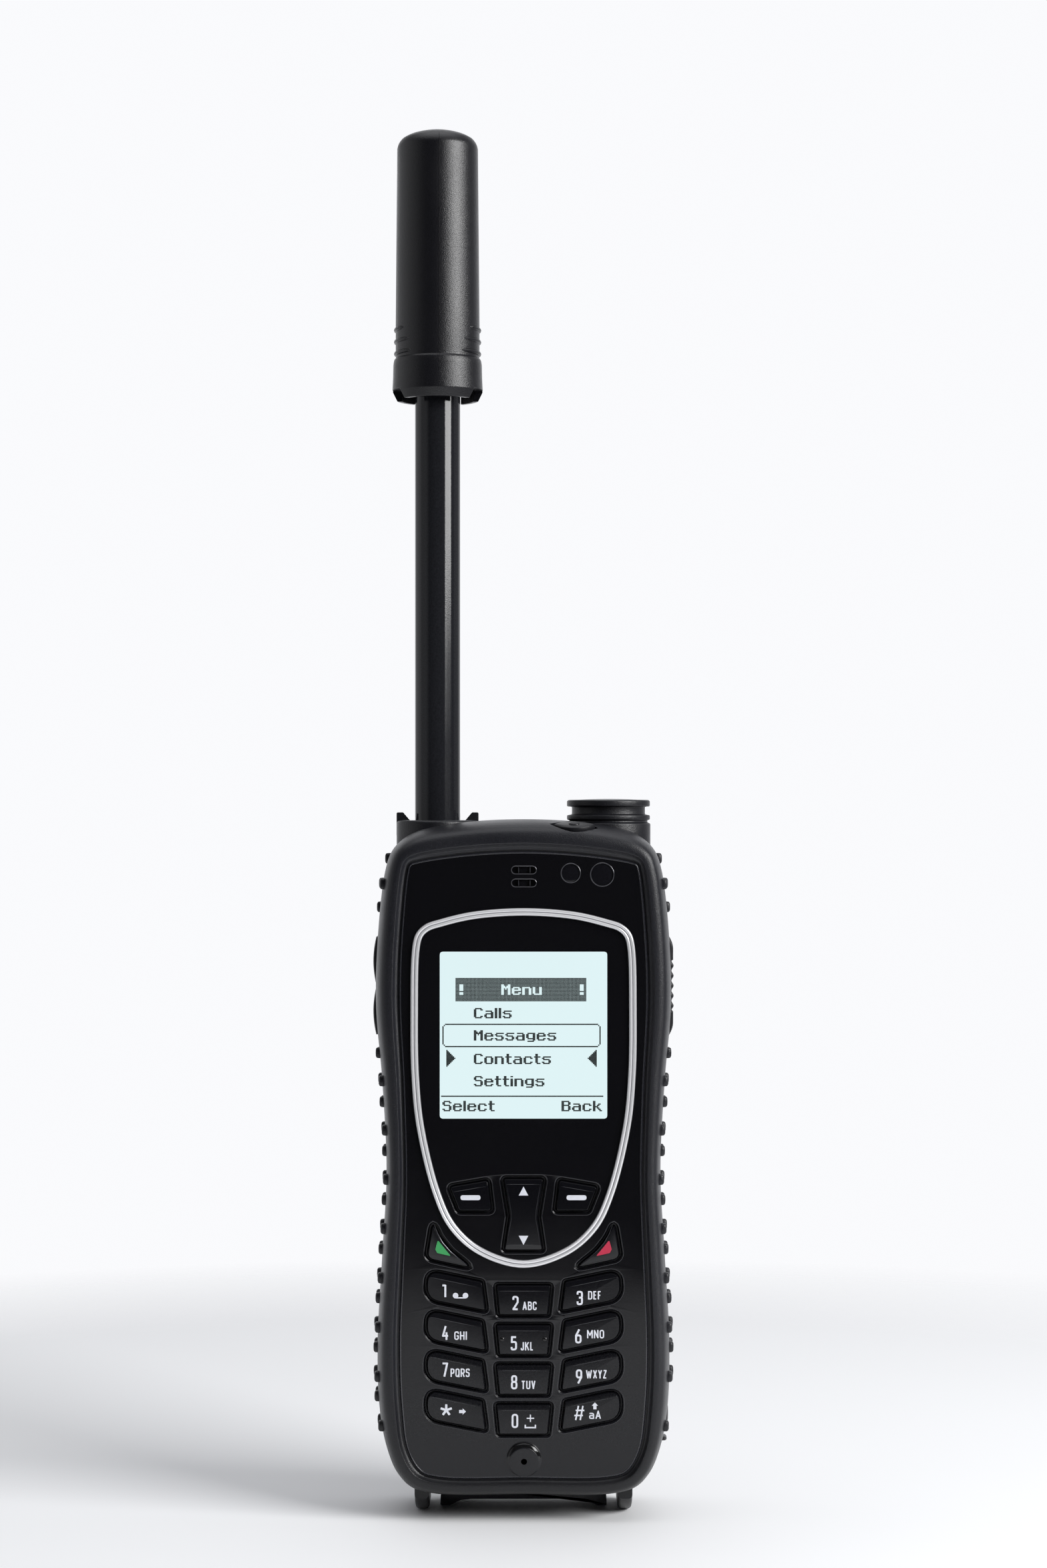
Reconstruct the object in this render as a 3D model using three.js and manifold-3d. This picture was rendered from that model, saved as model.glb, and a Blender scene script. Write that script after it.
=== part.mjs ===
// Rugged satellite handset: a rubber-framed body with a glossy front, a keypad, side buttons,
// a battery pack on the back and an antenna that slides out of the top left corner.
// Millimetres, +Z up. The front looks along -Y and +X is on the right of someone facing it.
// The origin is on the surface the handset stands on, under the middle of its box.
import * as THREE from 'three';
import { mergeVertices } from 'three/addons/utils/BufferGeometryUtils.js';
import Module from 'manifold-3d';

const wasm = await Module();
wasm.setup();

// ---------------------------------------------------------------- driving dimensions
const GAP = 0.3; // clearance between neighbouring pieces

// Outlines seen from the front, as [x, z] stations from the top centre down the right-hand
// side to the bottom centre. The two lists run in step, so a blend of them is a smooth band.
const BODY_STATIONS = [
  [0, 138.7], [12.8, 138.0], [21.9, 136.1], [25.9, 133.0], [27.5, 129.2], [29.2, 114.7],
  [29.5, 101], [28.3, 87], [27.4, 68.5], [28.2, 53], [29.2, 34], [28.8, 21.5],
  [27.4, 14], [25.3, 8.9], [21.6, 5.55], [0, 4.65],
];
const PLATE_STATIONS = [
  [0, 132.4], [12, 131.75], [21.0, 130.4], [22.4, 129.9], [22.9, 128.7], [24.25, 115],
  [24.6, 103], [23.8, 86], [23.4, 67], [23.95, 52], [24.55, 35], [24.1, 22.5],
  [22.9, 14.3], [20.3, 10.05], [16.4, 8.9], [0, 8.8],
];
const RING_STATIONS = [
  [0, 121.2], [10, 120.5], [16.5, 119.0], [19.4, 118.0], [21.1, 116.4], [21.9, 113.8], [22.3, 100],
  [22.1, 88.1],
  [21.1, 78.1], [17.8, 64.7], [14.6, 58], [9, 53], [0, 50.3],
];

// Depths of the front half, from the front face backwards
const CREST_Y = -14; // foremost line of the rubber frame
const KEY_FACE_Y = -13.8;
const PLATE_FRONT_Y = -13.2;
const PLATE_BACK_Y = -11;
const LEDGE_BACK_Y = -9.4;
const MAT_FRONT_Y = -9.5;
const BOARD_FRONT_Y = -7;
const BOARD_BACK_Y = -6;
const PARTING_Y = 4; // joint line between the rubber frame and the rear casing
const CASING_BACK_Y = 13.2;
const BATTERY_BACK_Y = 13.8;

// How far each section of the frame has moved from the body outline (0) to the plate (1)
const FRAME_SECTIONS = [
  [0.80, -13.5], [0.77, -13.9], [0.70, CREST_Y], [0.45, -13.8], [0.28, -12.9],
  [0.14, -11], [0.05, -7.5], [0, -2], [0, PARTING_Y],
];
const CASING_SECTIONS = [
  [0.02, PARTING_Y + GAP], [0.06, 7.5], [0.20, 10.6], [0.42, 12.4], [0.70, CASING_BACK_Y],
];
const CAVITY_BLEND = 0.45; // inner face of both shells

// Antenna: its axis, and heights with the mast pulled out
const MAST = { x: -17.4, y: 5, radius: 4.58, bore: 3.4, bottom: 127, top: 231, travel: 83 };
const COLLAR_RADIUS = 5.05; // stop at the mast's lower end, too wide for the cup's bore
const GUIDE = { inner: 5.2, outer: 5.9, bottom: MAST.bottom - MAST.travel - 1, top: 130.1 };
const CUP = { radius: 8.3, bore: 4.85, bottom: 130.5, floor: 136.5, rim: 138.5, finTop: 140.1 };
const HEAD = { bottom: 223.5, top: 278.9, bore: 6.7, skirtBore: 7.4 };
const HEAD_PROFILE = [
  [8.3, HEAD.bottom], [9.16, 225.3], [9.03, 228], [8.98, 230.5], [8.76, 231.4], [8.58, 232.2],
  [8.5, 233.3], [8.5, 239], [8.18, 274.9], [7.8, 276.1], [7.1, 276.85], [5.45, 277.65],
  [3.3, 278.3], [0, HEAD.top],
];
const GRIP_RIB = { heights: [232.9, 235.3, 237.7], halves: [3.4, 2.9, 2.4], reach: 8.85, rise: 0.45 };
const GPS = { x: 17.2, y: 5, radius: 8.5, bottom: 130.5 };

// Keypad: the outlines are the keys' bases, as [x, z, corner radius]
const ROW_PITCH = 7.84;
const FIRST_ROW_Z = 44;
const KEY_CLEARANCE = 0.4;
const KEY_RAMP = 0.9; // sloping band along the top of each key
const KEY_DRAFT = 0.2;
const KEY_TRAVEL = 0.5;
const MIDDLE_KEY = [[-4.8, -2.95, 0.4], [4.8, -2.95, 0.4], [5.4, 2.9, 0.4], [-5.4, 2.9, 0.4]];
const OUTER_KEY = [[-5.9, -3.95, 0.5], [5.7, -1.65, 3], [5.8, 4, 2.2], [-5.15, 1.75, 0.4]];
const OUTER_KEY_AT = { x: 13.3, rise: 1.8 };
const KEY_NAMES = [['1', '2', '3'], ['4', '5', '6'], ['7', '8', '9'], ['star', '0', 'hash']];
const SOFT_KEY = [[6.3, 61.5, 0.6], [12.7, 61.5, 0.6], [14.6, 66.3, 0.6], [7, 67.6, 0.6]];
const CALL_KEY = [
  [10.6, 50.4, 0.7], [19.1, 52.2, 1.6], [17.9, 59.3, 0.8], [16.4, 56.3, 0], [14.6, 53.9, 0],
];
const NAV_KEY = [
  [-3.8, 53.8, 0.5], [3.8, 53.8, 0.5], [2.8, 60.6, 0], [4, 67.9, 0.5], [-4, 67.9, 0.5],
  [-2.8, 60.6, 0],
];

// Screen, earpiece and lights
const SCREEN = { half: 16.5, bottom: 79.7, top: 112.6, corner: 0.6 };
const EAR_SLOTS = { halfLength: 2.55, radius: 0.85, heights: [126.2, 128.8] };
const LIGHTS = [
  { name: 'signal_light', x: 9.3, z: 128.1, radius: 2 },
  { name: 'light_sensor', x: 15.5, z: 127.8, radius: 2.4 },
];
const MIC = { x: 0.1, z: 12.4, radius: 3.5, faceRadius: 2.85, faceY: -13.8, hole: 0.6 };

// Side buttons and the connector cover, as windows in the rubber frame
const SIDE_BUTTON = { y0: -5, y1: 3, z0: 95.3, z1: 115.6, inner: 26.4, outer: 30 };
const COVER = { y0: -6.2, y1: 3.4, z0: 13.8, z1: 25.7, inner: 26.3, lip: 0.8 };
const POWER = { x: 10, y: -10.6, z: 137.6, tilt: 0.27, length: 8.8, width: 4.2, height: 2 };

// Grip nubs: columns down both flanks, every other column half a pitch lower
const NUB = { height: 1.8, width: 1.8, proud: 0.65, pitch: 9.76 };
const NUB_COLUMNS = [
  { y: -9.6, top: 125.9 }, { y: -6.2, top: 92.2 }, { y: -2.6, top: 125.9 }, { y: 1.2, top: 130.8 },
];

// Battery bay, stepped round the antenna's channel
const BATTERY = {
  left: -23.5, right: 23.5, bottom: 11.6, step: 40, stepLeft: -9.6, top: 97, front: 5.9,
};
const BAY_FLOOR_Y = 5.6;
const LATCH = { x0: -1, x1: 15, z0: 98.6, z1: 105.2, front: 10.3, travel: 3 };

// Ribs and bar that the handset stands on
const RIB = { inner: 18.85, outer: 21.65, top: 6.2, round: 0.8, back: 9 };
const RIB_NOSE = [[-8, 3.6], [-6.3, 1.6], [-4.8, 0.5], [-3, 0]]; // how its lower edge curves up
const BASE_BAR = { half: 16.7, lug: 3.9, bottom: 0, middle: 1.2, top: 5.9, y0: 4.3, y1: 11 };
const BAR_LEDGE = { front: 2.3, top: 4.3 }; // the bar's nose, under the rubber frame
const BEYOND_Y = 15; // behind everything, where cuts through the back end

const SCREWS = [[-6, 103, 11.3], [20, 103, 11.3], [-14, 8.4, 10.4], [14, 8.4, 10.4]];
const SCREW = { head: 1.9, headHeight: 1.5, shank: 1, length: 5.5 };

const MATERIALS = {
  rubber: { color: 0x3c4046, roughness: 0.75, metalness: 0 },
  casing: { color: 0x2c2e32, roughness: 0.6, metalness: 0 },
  gloss: { color: 0x0b0b0d, roughness: 0.12, metalness: 0 },
  keys: { color: 0x202124, roughness: 0.5, metalness: 0 },
  chrome: { color: 0xc9cbce, roughness: 0.22, metalness: 1 },
  steel: { color: 0x9a9c9e, roughness: 0.35, metalness: 1 },
  glass: { color: 0xdff5f6, roughness: 0.08, metalness: 0 },
  screen: { color: 0xe2f6f9, roughness: 0.4, metalness: 0 },
  board: { color: 0x1f5a3a, roughness: 0.6, metalness: 0 },
  silicone: { color: 0x6c7074, roughness: 0.8, metalness: 0 },
  ceramic: { color: 0xd8d2c4, roughness: 0.6, metalness: 0 },
  gold: { color: 0xc79c42, roughness: 0.35, metalness: 1 },
  cell: { color: 0x7d8790, roughness: 0.5, metalness: 0.4 },
};

// ---------------------------------------------------------------- solids from geometry
const MERGE_TOLERANCE = 1e-4;
const ROUND_STEPS = 24;

// Makes a solid that can be joined and cut out of a closed three.js geometry.
function toSolid(geometry) {
  const bare = geometry.clone();
  bare.deleteAttribute('normal');
  bare.deleteAttribute('uv');
  const merged = mergeVertices(bare, MERGE_TOLERANCE);
  const at = merged.attributes.position;
  const corners = [];
  let volume = 0;
  for (let i = 0; i < merged.index.count; i += 3) {
    const [a, b, c] = [0, 1, 2].map((k) => merged.index.getX(i + k));
    if (a === b || b === c || c === a) continue;
    corners.push(a, b, c);
    const [p, q, r] = [a, b, c].map((k) => new THREE.Vector3().fromBufferAttribute(at, k));
    volume += p.dot(q.cross(r));
  }
  if (volume < 0) corners.reverse();
  const vertProperties = new Float32Array(at.array);
  return new wasm.Manifold(new wasm.Mesh({ numProp: 3, vertProperties, triVerts: new Uint32Array(corners) }));
}

function toGeometry(solid) {
  const mesh = solid.getMesh();
  const geometry = new THREE.BufferGeometry();
  geometry.setAttribute('position', new THREE.BufferAttribute(mesh.vertProperties, 3));
  geometry.setIndex(new THREE.BufferAttribute(mesh.triVerts, 1));
  geometry.computeVertexNormals();
  return geometry;
}

function joined(solids) {
  return solids.reduce((whole, next) => whole.add(next));
}

function cutBy(solid, cutters) {
  return cutters.reduce((left, cutter) => left.subtract(cutter), solid);
}

// A box between two opposite corners.
function box(low, high) {
  const size = high.map((value, i) => value - low[i]);
  const middle = high.map((value, i) => (value + low[i]) / 2);
  return toSolid(new THREE.BoxGeometry(...size).translate(...middle));
}

function anticlockwise(outline) {
  return THREE.ShapeUtils.isClockWise(outline) ? [...outline].reverse() : outline;
}

// Extrudes an [x, z] outline, with holes, from y0 back to y1.
function prism(outline, y0, y1, holes = []) {
  const shape = new THREE.Shape(anticlockwise(outline));
  shape.holes = holes.map((hole) => new THREE.Path(hole));
  const geometry = new THREE.ExtrudeGeometry(shape, { depth: y1 - y0, bevelEnabled: false });
  return toSolid(geometry.rotateX(Math.PI / 2).translate(0, y1, 0));
}

// Turns an [r, z] profile round the vertical axis.
function turned(profile, steps = ROUND_STEPS) {
  const points = profile.map(([r, z]) => new THREE.Vector2(r, z));
  return toSolid(new THREE.LatheGeometry(points, steps).rotateX(Math.PI / 2));
}

// Turns an [r, y] profile round the front-to-back axis through (x, z).
function turnedBack(profile, x, z, steps = ROUND_STEPS) {
  const points = profile.map(([r, y]) => new THREE.Vector2(r, y));
  return toSolid(new THREE.LatheGeometry(points, steps).translate(x, 0, z));
}

// Skins a row of outlines that have equally many points, each at its own depth.
function loft(sections) {
  const rings = sections.map(({ outline, y }) => ({ y, ring: anticlockwise(outline) }));
  const count = rings[0].ring.length;
  const positions = rings.flatMap(({ ring, y }) => ring.flatMap((p) => [p.x, y, p.y]));
  const index = [];
  for (let s = 0; s < rings.length - 1; s += 1) {
    for (let i = 0; i < count; i += 1) {
      const next = (i + 1) % count;
      const [a, b] = [s * count + i, s * count + next];
      index.push(a, a + count, b, b, a + count, b + count);
    }
  }
  const last = (rings.length - 1) * count;
  for (const [a, b, c] of THREE.ShapeUtils.triangulateShape(rings[0].ring, [])) index.push(a, b, c);
  for (const [a, b, c] of THREE.ShapeUtils.triangulateShape(rings[rings.length - 1].ring, [])) {
    index.push(last + a, last + c, last + b);
  }
  const geometry = new THREE.BufferGeometry();
  geometry.setAttribute('position', new THREE.Float32BufferAttribute(positions, 3));
  geometry.setIndex(index);
  return toSolid(geometry);
}

// ---------------------------------------------------------------- outlines
const SPAN_STEPS = 2;

// A smooth closed outline through the stations and their mirror image.
function outlineThrough(stations) {
  const right = stations.map(([x, z]) => new THREE.Vector3(x, z, 0));
  const left = right.slice(1, -1).reverse().map((p) => new THREE.Vector3(-p.x, p.y, 0));
  const curve = new THREE.CatmullRomCurve3([...right, ...left], true, 'centripetal');
  const points = curve.getPoints((right.length + left.length) * SPAN_STEPS).slice(0, -1);
  return points.map((p) => new THREE.Vector2(p.x, p.y));
}

// Moves every side of a closed outline outwards by a distance, or inwards if it is negative.
function grow(outline, distance) {
  const turn = THREE.ShapeUtils.isClockWise(outline) ? -1 : 1;
  const normal = (p, q) => new THREE.Vector2(q.y - p.y, p.x - q.x).normalize().multiplyScalar(turn);
  return outline.map((point, i) => {
    const before = outline[(i + outline.length - 1) % outline.length];
    const after = outline[(i + 1) % outline.length];
    const side = normal(before, point);
    const mitre = normal(point, after).add(side).normalize();
    return point.clone().addScaledVector(mitre, distance / mitre.dot(side));
  });
}

function blend(from, to, amount) {
  return from.map((point, i) => point.clone().lerp(to[i], amount));
}

// Rounds the corners of an [x, z, radius] polygon with a few points each.
function rounded(corners, steps = 3) {
  const at = (i) => new THREE.Vector2(...corners[(i + corners.length) % corners.length]);
  return corners.flatMap(([x, z, radius], i) => {
    const corner = new THREE.Vector2(x, z);
    if (radius === 0) return [corner];
    const arms = [at(i - 1), at(i + 1)].map((end) => end.sub(corner).normalize());
    const reach = radius / Math.tan(Math.acos(arms[0].dot(arms[1])) / 2);
    const [start, end] = arms.map((arm) => corner.clone().addScaledVector(arm, reach));
    return new THREE.QuadraticBezierCurve(start, corner, end).getPoints(steps);
  });
}

function mirrored(corners) {
  return corners.map(([x, z, radius]) => [-x, z, radius]).reverse();
}

// Moves a polygon's corners by a distance and keeps each corner's radius.
function growCorners(corners, distance) {
  const moved = grow(corners.map(([x, z]) => new THREE.Vector2(x, z)), distance);
  return corners.map(([, , radius], i) => [moved[i].x, moved[i].y, radius === 0 ? 0 : radius + distance]);
}

function circle(x, z, radius, steps = 16) {
  const turns = Array.from({ length: steps }, (_, i) => (i * 2 * Math.PI) / steps);
  return turns.map((a) => new THREE.Vector2(x + radius * Math.cos(a), z + radius * Math.sin(a)));
}

function rectangle(x0, x1, z0, z1, radius) {
  return rounded([[x0, z0, radius], [x1, z0, radius], [x1, z1, radius], [x0, z1, radius]]);
}

const bodyOutline = outlineThrough(BODY_STATIONS);
const plateOutline = outlineThrough(PLATE_STATIONS);
const ringOutline = outlineThrough(RING_STATIONS);
const cavityOutline = blend(bodyOutline, plateOutline, CAVITY_BLEND);

function shellSections(rows) {
  return rows.map(([amount, y]) => ({ y, outline: blend(bodyOutline, plateOutline, amount) }));
}

// ---------------------------------------------------------------- scene graph
const handset = new THREE.Group();
const keypad = new THREE.Group();
const antenna = new THREE.Group();
antenna.position.set(MAST.x, MAST.y, 0);
const battery = new THREE.Group();
handset.add(keypad, antenna, battery);

function add(parent, name, solid, look) {
  const mesh = new THREE.Mesh(toGeometry(solid), new THREE.MeshStandardMaterial(MATERIALS[look]));
  mesh.name = name;
  parent.add(mesh);
  return mesh;
}

// ---------------------------------------------------------------- keys
// Every key as its name, its polygon and where the polygon's origin goes.
const keys = [];
KEY_NAMES.forEach((names, row) => {
  const z = FIRST_ROW_Z - row * ROW_PITCH;
  const outerZ = z + OUTER_KEY_AT.rise;
  keys.push({ name: names[0], corners: mirrored(OUTER_KEY), x: -OUTER_KEY_AT.x, z: outerZ });
  keys.push({ name: names[1], corners: MIDDLE_KEY, x: 0, z });
  keys.push({ name: names[2], corners: OUTER_KEY, x: OUTER_KEY_AT.x, z: outerZ });
});
keys.push({ name: 'soft_right', corners: SOFT_KEY, x: 0, z: 0 });
keys.push({ name: 'soft_left', corners: mirrored(SOFT_KEY), x: 0, z: 0 });
keys.push({ name: 'end', corners: CALL_KEY, x: 0, z: 0 });
keys.push({ name: 'call', corners: mirrored(CALL_KEY), x: 0, z: 0 });

const KEY_BACK_Y = MAT_FRONT_Y - GAP - KEY_TRAVEL;
const KEY_SHOULDER_Y = -12.9;

// The face is the base drawn in a little, and drawn down along the sloping band at the top.
function keySolid(corners, bands) {
  const base = rounded(corners);
  const top = Math.max(...base.map((p) => p.y));
  const bottom = Math.min(...base.map((p) => p.y));
  const middle = (top + bottom) / 2;
  const face = grow(base, -KEY_DRAFT).map((p) => {
    const share = Math.min(1, Math.abs(p.y - middle) / (top - middle));
    const drop = p.y > middle ? bands.top * share : -bands.bottom * share;
    return new THREE.Vector2(p.x, p.y - drop);
  });
  return loft([
    { outline: face, y: KEY_FACE_Y },
    { outline: base, y: KEY_SHOULDER_Y },
    { outline: base, y: KEY_BACK_Y },
  ]);
}

for (const { name, corners, x, z } of keys) {
  const key = add(keypad, `key_${name}`, keySolid(corners, { top: KEY_RAMP, bottom: 0 }), 'keys');
  key.position.set(x, 0, z);
}
add(keypad, 'nav_rocker', keySolid(NAV_KEY, { top: KEY_RAMP, bottom: KEY_RAMP }), 'keys');

function keyHole({ corners, x, z }) {
  const hole = rounded(growCorners(corners, KEY_CLEARANCE));
  return hole.map((p) => new THREE.Vector2(p.x + x, p.y + z));
}

// ---------------------------------------------------------------- front plate and its trim
const screenHole = rectangle(-SCREEN.half, SCREEN.half, SCREEN.bottom, SCREEN.top, SCREEN.corner);
const slotHoles = EAR_SLOTS.heights.map((z) => {
  const { halfLength, radius } = EAR_SLOTS;
  return rectangle(-halfLength, halfLength, z - radius, z + radius, radius * 0.95);
});
const lightHoles = LIGHTS.map(({ x, z, radius }) => circle(x, z, radius));
const RING_WIDTH = 1.6;
const GROOVE_FLOOR_Y = -12.3;
const ringInner = grow(ringOutline, -RING_WIDTH);
const groove = prism(grow(ringOutline, GAP), CREST_Y, GROOVE_FLOOR_Y, [grow(ringInner, -GAP)]);
const micBoss = turnedBack(
  [
    [MIC.hole, PLATE_FRONT_Y + 0.4], [MIC.radius, PLATE_FRONT_Y + 0.4], [MIC.radius, PLATE_FRONT_Y],
    [MIC.faceRadius, MIC.faceY], [MIC.hole, MIC.faceY], [MIC.hole, PLATE_FRONT_Y + 0.4],
  ],
  MIC.x, MIC.z,
);
const plateHoles = [
  screenHole, ...slotHoles, ...lightHoles, circle(MIC.x, MIC.z, MIC.hole), ...keys.map(keyHole),
  keyHole({ corners: NAV_KEY, x: 0, z: 0 }),
];
const plateBlank = prism(plateOutline, PLATE_FRONT_Y, PLATE_BACK_Y, plateHoles);
add(handset, 'front_plate', joined([cutBy(plateBlank, [groove]), micBoss]), 'gloss');
add(handset, 'chrome_ring', prism(ringOutline, KEY_FACE_Y, GROOVE_FLOOR_Y - GAP, [ringInner]), 'chrome');
const windowOutline = grow(screenHole, -GAP);
add(handset, 'display_window', prism(windowOutline, PLATE_FRONT_Y, PLATE_BACK_Y - GAP), 'glass');
for (const { name, x, z, radius } of LIGHTS) {
  const lens = prism(circle(x, z, radius - GAP), PLATE_FRONT_Y + 0.1, PLATE_BACK_Y);
  add(handset, name, lens, 'glass');
}

// ---------------------------------------------------------------- rubber frame
const frameBlank = loft(shellSections(FRAME_SECTIONS));

// Half the width of an outline at a height, on its right-hand side.
function halfWidth(outline, z) {
  for (let i = 0; i < outline.length; i += 1) {
    const [p, q] = [outline[i], outline[(i + 1) % outline.length]];
    if (p.x > 0 && (p.y - z) * (q.y - z) <= 0) return p.x + ((q.x - p.x) * (z - p.y)) / (q.y - p.y);
  }
  return 0;
}

// The frame's flank at depth y, as its blend and the slope of its side there.
function flankAt(y) {
  const s = FRAME_SECTIONS.findIndex(([, depth], i) => i > 1 && depth >= y);
  const [[amount0, y0], [amount1, y1]] = [FRAME_SECTIONS[s - 1], FRAME_SECTIONS[s]];
  const slope = (amount1 - amount0) / (y1 - y0);
  return { amount: amount0 + slope * (y - y0), slope };
}

// One grip nub: a lozenge with sloping sides, sunk a little into the flank.
function nub(side, y, z) {
  const { amount, slope } = flankAt(y);
  const [bodyHalf, plateHalf] = [halfWidth(bodyOutline, z), halfWidth(plateOutline, z)];
  const band = bodyHalf - plateHalf;
  const lozenge = new THREE.CylinderGeometry(0.75, 1.3, NUB.proud + 0.5, 4);
  lozenge.rotateY(Math.PI / 4).rotateZ(-Math.PI / 2).translate((NUB.proud - 0.5) / 2, 0, 0);
  lozenge.scale(1, NUB.width / 2, NUB.height / 2);
  lozenge.rotateZ(Math.atan(slope * band)).translate(bodyHalf - amount * band, y, z);
  if (side < 0) lozenge.rotateZ(Math.PI).translate(0, 2 * y, 0);
  return toSolid(lozenge);
}

// Nubs keep clear of the buttons, of the connector cover and of the blank stretch beside them.
function nubAllowed(side, column, z) {
  const beside = z > SIDE_BUTTON.z0 - 1.4 && z < SIDE_BUTTON.z1 + 1.4;
  if (beside) return false;
  return !(side > 0 && column.y > COVER.y0 - 1.5 && z < COVER.z1 + 1.4);
}

const NUB_LOWEST = 18;
const nubs = [];
for (const column of NUB_COLUMNS) {
  const offsets = Array.from({ length: 12 }, (_, i) => column.top - i * NUB.pitch);
  for (const z of offsets.filter((height) => height > NUB_LOWEST)) {
    for (const side of [-1, 1]) {
      if (nubAllowed(side, column, z)) nubs.push(nub(side, column.y, z));
    }
  }
}

// The outline across a standing rib whose lower edge is at a height.
function ribOutline(side, bottom) {
  const { inner, outer, top, round } = RIB;
  const [x0, x1] = side > 0 ? [inner, outer] : [-outer, -inner];
  return rounded([[x0, bottom, round], [x1, bottom, round], [x1, top, 0], [x0, top, 0]]);
}

// The front stretch of a standing rib, its nose curving up towards the front.
function ribFront(side) {
  return loft([...RIB_NOSE, [PARTING_Y, 0]].map(([y, bottom]) => (
    { outline: ribOutline(side, bottom), y }
  )));
}

const frameOpening = loft([
  { outline: grow(plateOutline, GAP), y: CREST_Y - 1 },
  { outline: grow(plateOutline, GAP), y: PLATE_BACK_Y + 0.1 },
  { outline: grow(plateOutline, -1), y: PLATE_BACK_Y + 0.1 },
  { outline: grow(plateOutline, -1), y: LEDGE_BACK_Y },
  { outline: cavityOutline, y: LEDGE_BACK_Y },
  { outline: cavityOutline, y: PARTING_Y + 1 },
]);

// Wells in the top corners for the antenna's cup and the positioning antenna's housing
function cornerWell(x, y, radius, bottom) {
  const top = 150;
  return toSolid(new THREE.CylinderGeometry(radius, radius, top - bottom, ROUND_STEPS)
    .rotateX(Math.PI / 2).translate(x, y, (top + bottom) / 2));
}
const cornerWells = [
  cornerWell(MAST.x, MAST.y, CUP.radius + GAP, CUP.bottom - GAP),
  cornerWell(GPS.x, GPS.y, GPS.radius + GAP, GPS.bottom - GAP),
];

function sideWindow(side) {
  const { y0, y1, z0, z1 } = SIDE_BUTTON;
  const reach = [20, 40].map((x) => x * side).sort((a, b) => a - b);
  return box([reach[0], y0, z0], [reach[1], y1, z1]);
}
const coverWindow = box([20, COVER.y0, COVER.z0], [40, COVER.y1, COVER.z1]);

// The power button and its pocket: a tilted slot with round ends on the sloping top edge
function powerSlot(length, width, height) {
  const outline = rounded([
    [-length / 2, -width / 2, width * 0.48], [length / 2, -width / 2, width * 0.48],
    [length / 2, width / 2, width * 0.48], [-length / 2, width / 2, width * 0.48],
  ]);
  const slot = new THREE.Shape(outline);
  return new THREE.ExtrudeGeometry(slot, { depth: height, bevelEnabled: false }).translate(0, 0, -height);
}
const powerPocket = toSolid(
  powerSlot(POWER.length + 2 * GAP, POWER.width + 2 * GAP, POWER.height + 3 * GAP + KEY_TRAVEL)
    .translate(0, 0, 2 * GAP).rotateX(POWER.tilt).translate(POWER.x, POWER.y, POWER.z),
);

const framed = joined([
  frameBlank, ...nubs, ribFront(-1), ribFront(1),
]);
add(handset, 'rubber_frame', cutBy(framed, [
  frameOpening, ...cornerWells, sideWindow(-1), sideWindow(1), coverWindow, powerPocket,
]), 'rubber');

const powerSolid = toSolid(powerSlot(POWER.length, POWER.width, POWER.height));
const power = add(handset, 'power_button', powerSolid, 'keys');
power.rotation.x = POWER.tilt;
power.position.set(POWER.x, POWER.y, POWER.z);

// Volume rocker: a long key with a hump at each end, on the left flank
const ROCKER_MIDDLE_Z = (SIDE_BUTTON.z0 + SIDE_BUTTON.z1) / 2;
const ROCKER_HALF = (SIDE_BUTTON.z1 - SIDE_BUTTON.z0) / 2 - 0.4;
const HUMP = [[0, 0.6], [0.25, 0.4], [0.5, 0], [0.8, 0.15], [1, 0.7]];
const humpPoint = (share, dip) => [-SIDE_BUTTON.outer + dip, ROCKER_MIDDLE_Z + share * ROCKER_HALF];
const upperHump = HUMP.map(([share, dip]) => humpPoint(share, dip));
const lowerHump = HUMP.slice(1).reverse().map(([share, dip]) => humpPoint(-share, dip));
const rockerOutline = [...lowerHump, ...upperHump,
  [-SIDE_BUTTON.inner, ROCKER_MIDDLE_Z + ROCKER_HALF], [-SIDE_BUTTON.inner, ROCKER_MIDDLE_Z - ROCKER_HALF]];
add(handset, 'volume_rocker', prism(
  rockerOutline.map(([x, z]) => new THREE.Vector2(x, z)), SIDE_BUTTON.y0 + 0.4, SIDE_BUTTON.y1 - 0.4,
), 'keys');

// Talk button: one long key with grip ridges round its middle, on the right flank
const RIDGES = { count: 5, pitch: 2, depth: 0.5 };
const ridgeEdge = [];
for (let i = 0; i < RIDGES.count; i += 1) {
  const z = ROCKER_MIDDLE_Z + (i - (RIDGES.count - 1) / 2) * RIDGES.pitch;
  ridgeEdge.push([SIDE_BUTTON.outer - RIDGES.depth, z - RIDGES.pitch / 2], [SIDE_BUTTON.outer, z - 0.4]);
  ridgeEdge.push([SIDE_BUTTON.outer, z + 0.4]);
}
const talkOutline = [
  [SIDE_BUTTON.inner, SIDE_BUTTON.z0 + GAP], [SIDE_BUTTON.outer - 0.9, SIDE_BUTTON.z0 + GAP],
  [SIDE_BUTTON.outer - 0.3, SIDE_BUTTON.z0 + 2], ...ridgeEdge,
  [SIDE_BUTTON.outer - 0.3, SIDE_BUTTON.z1 - 2], [SIDE_BUTTON.outer - 0.9, SIDE_BUTTON.z1 - GAP],
  [SIDE_BUTTON.inner, SIDE_BUTTON.z1 - GAP],
];
add(handset, 'talk_button', prism(
  talkOutline.map(([x, z]) => new THREE.Vector2(x, z)), SIDE_BUTTON.y0 + GAP, SIDE_BUTTON.y1 - GAP,
), 'keys');

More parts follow.
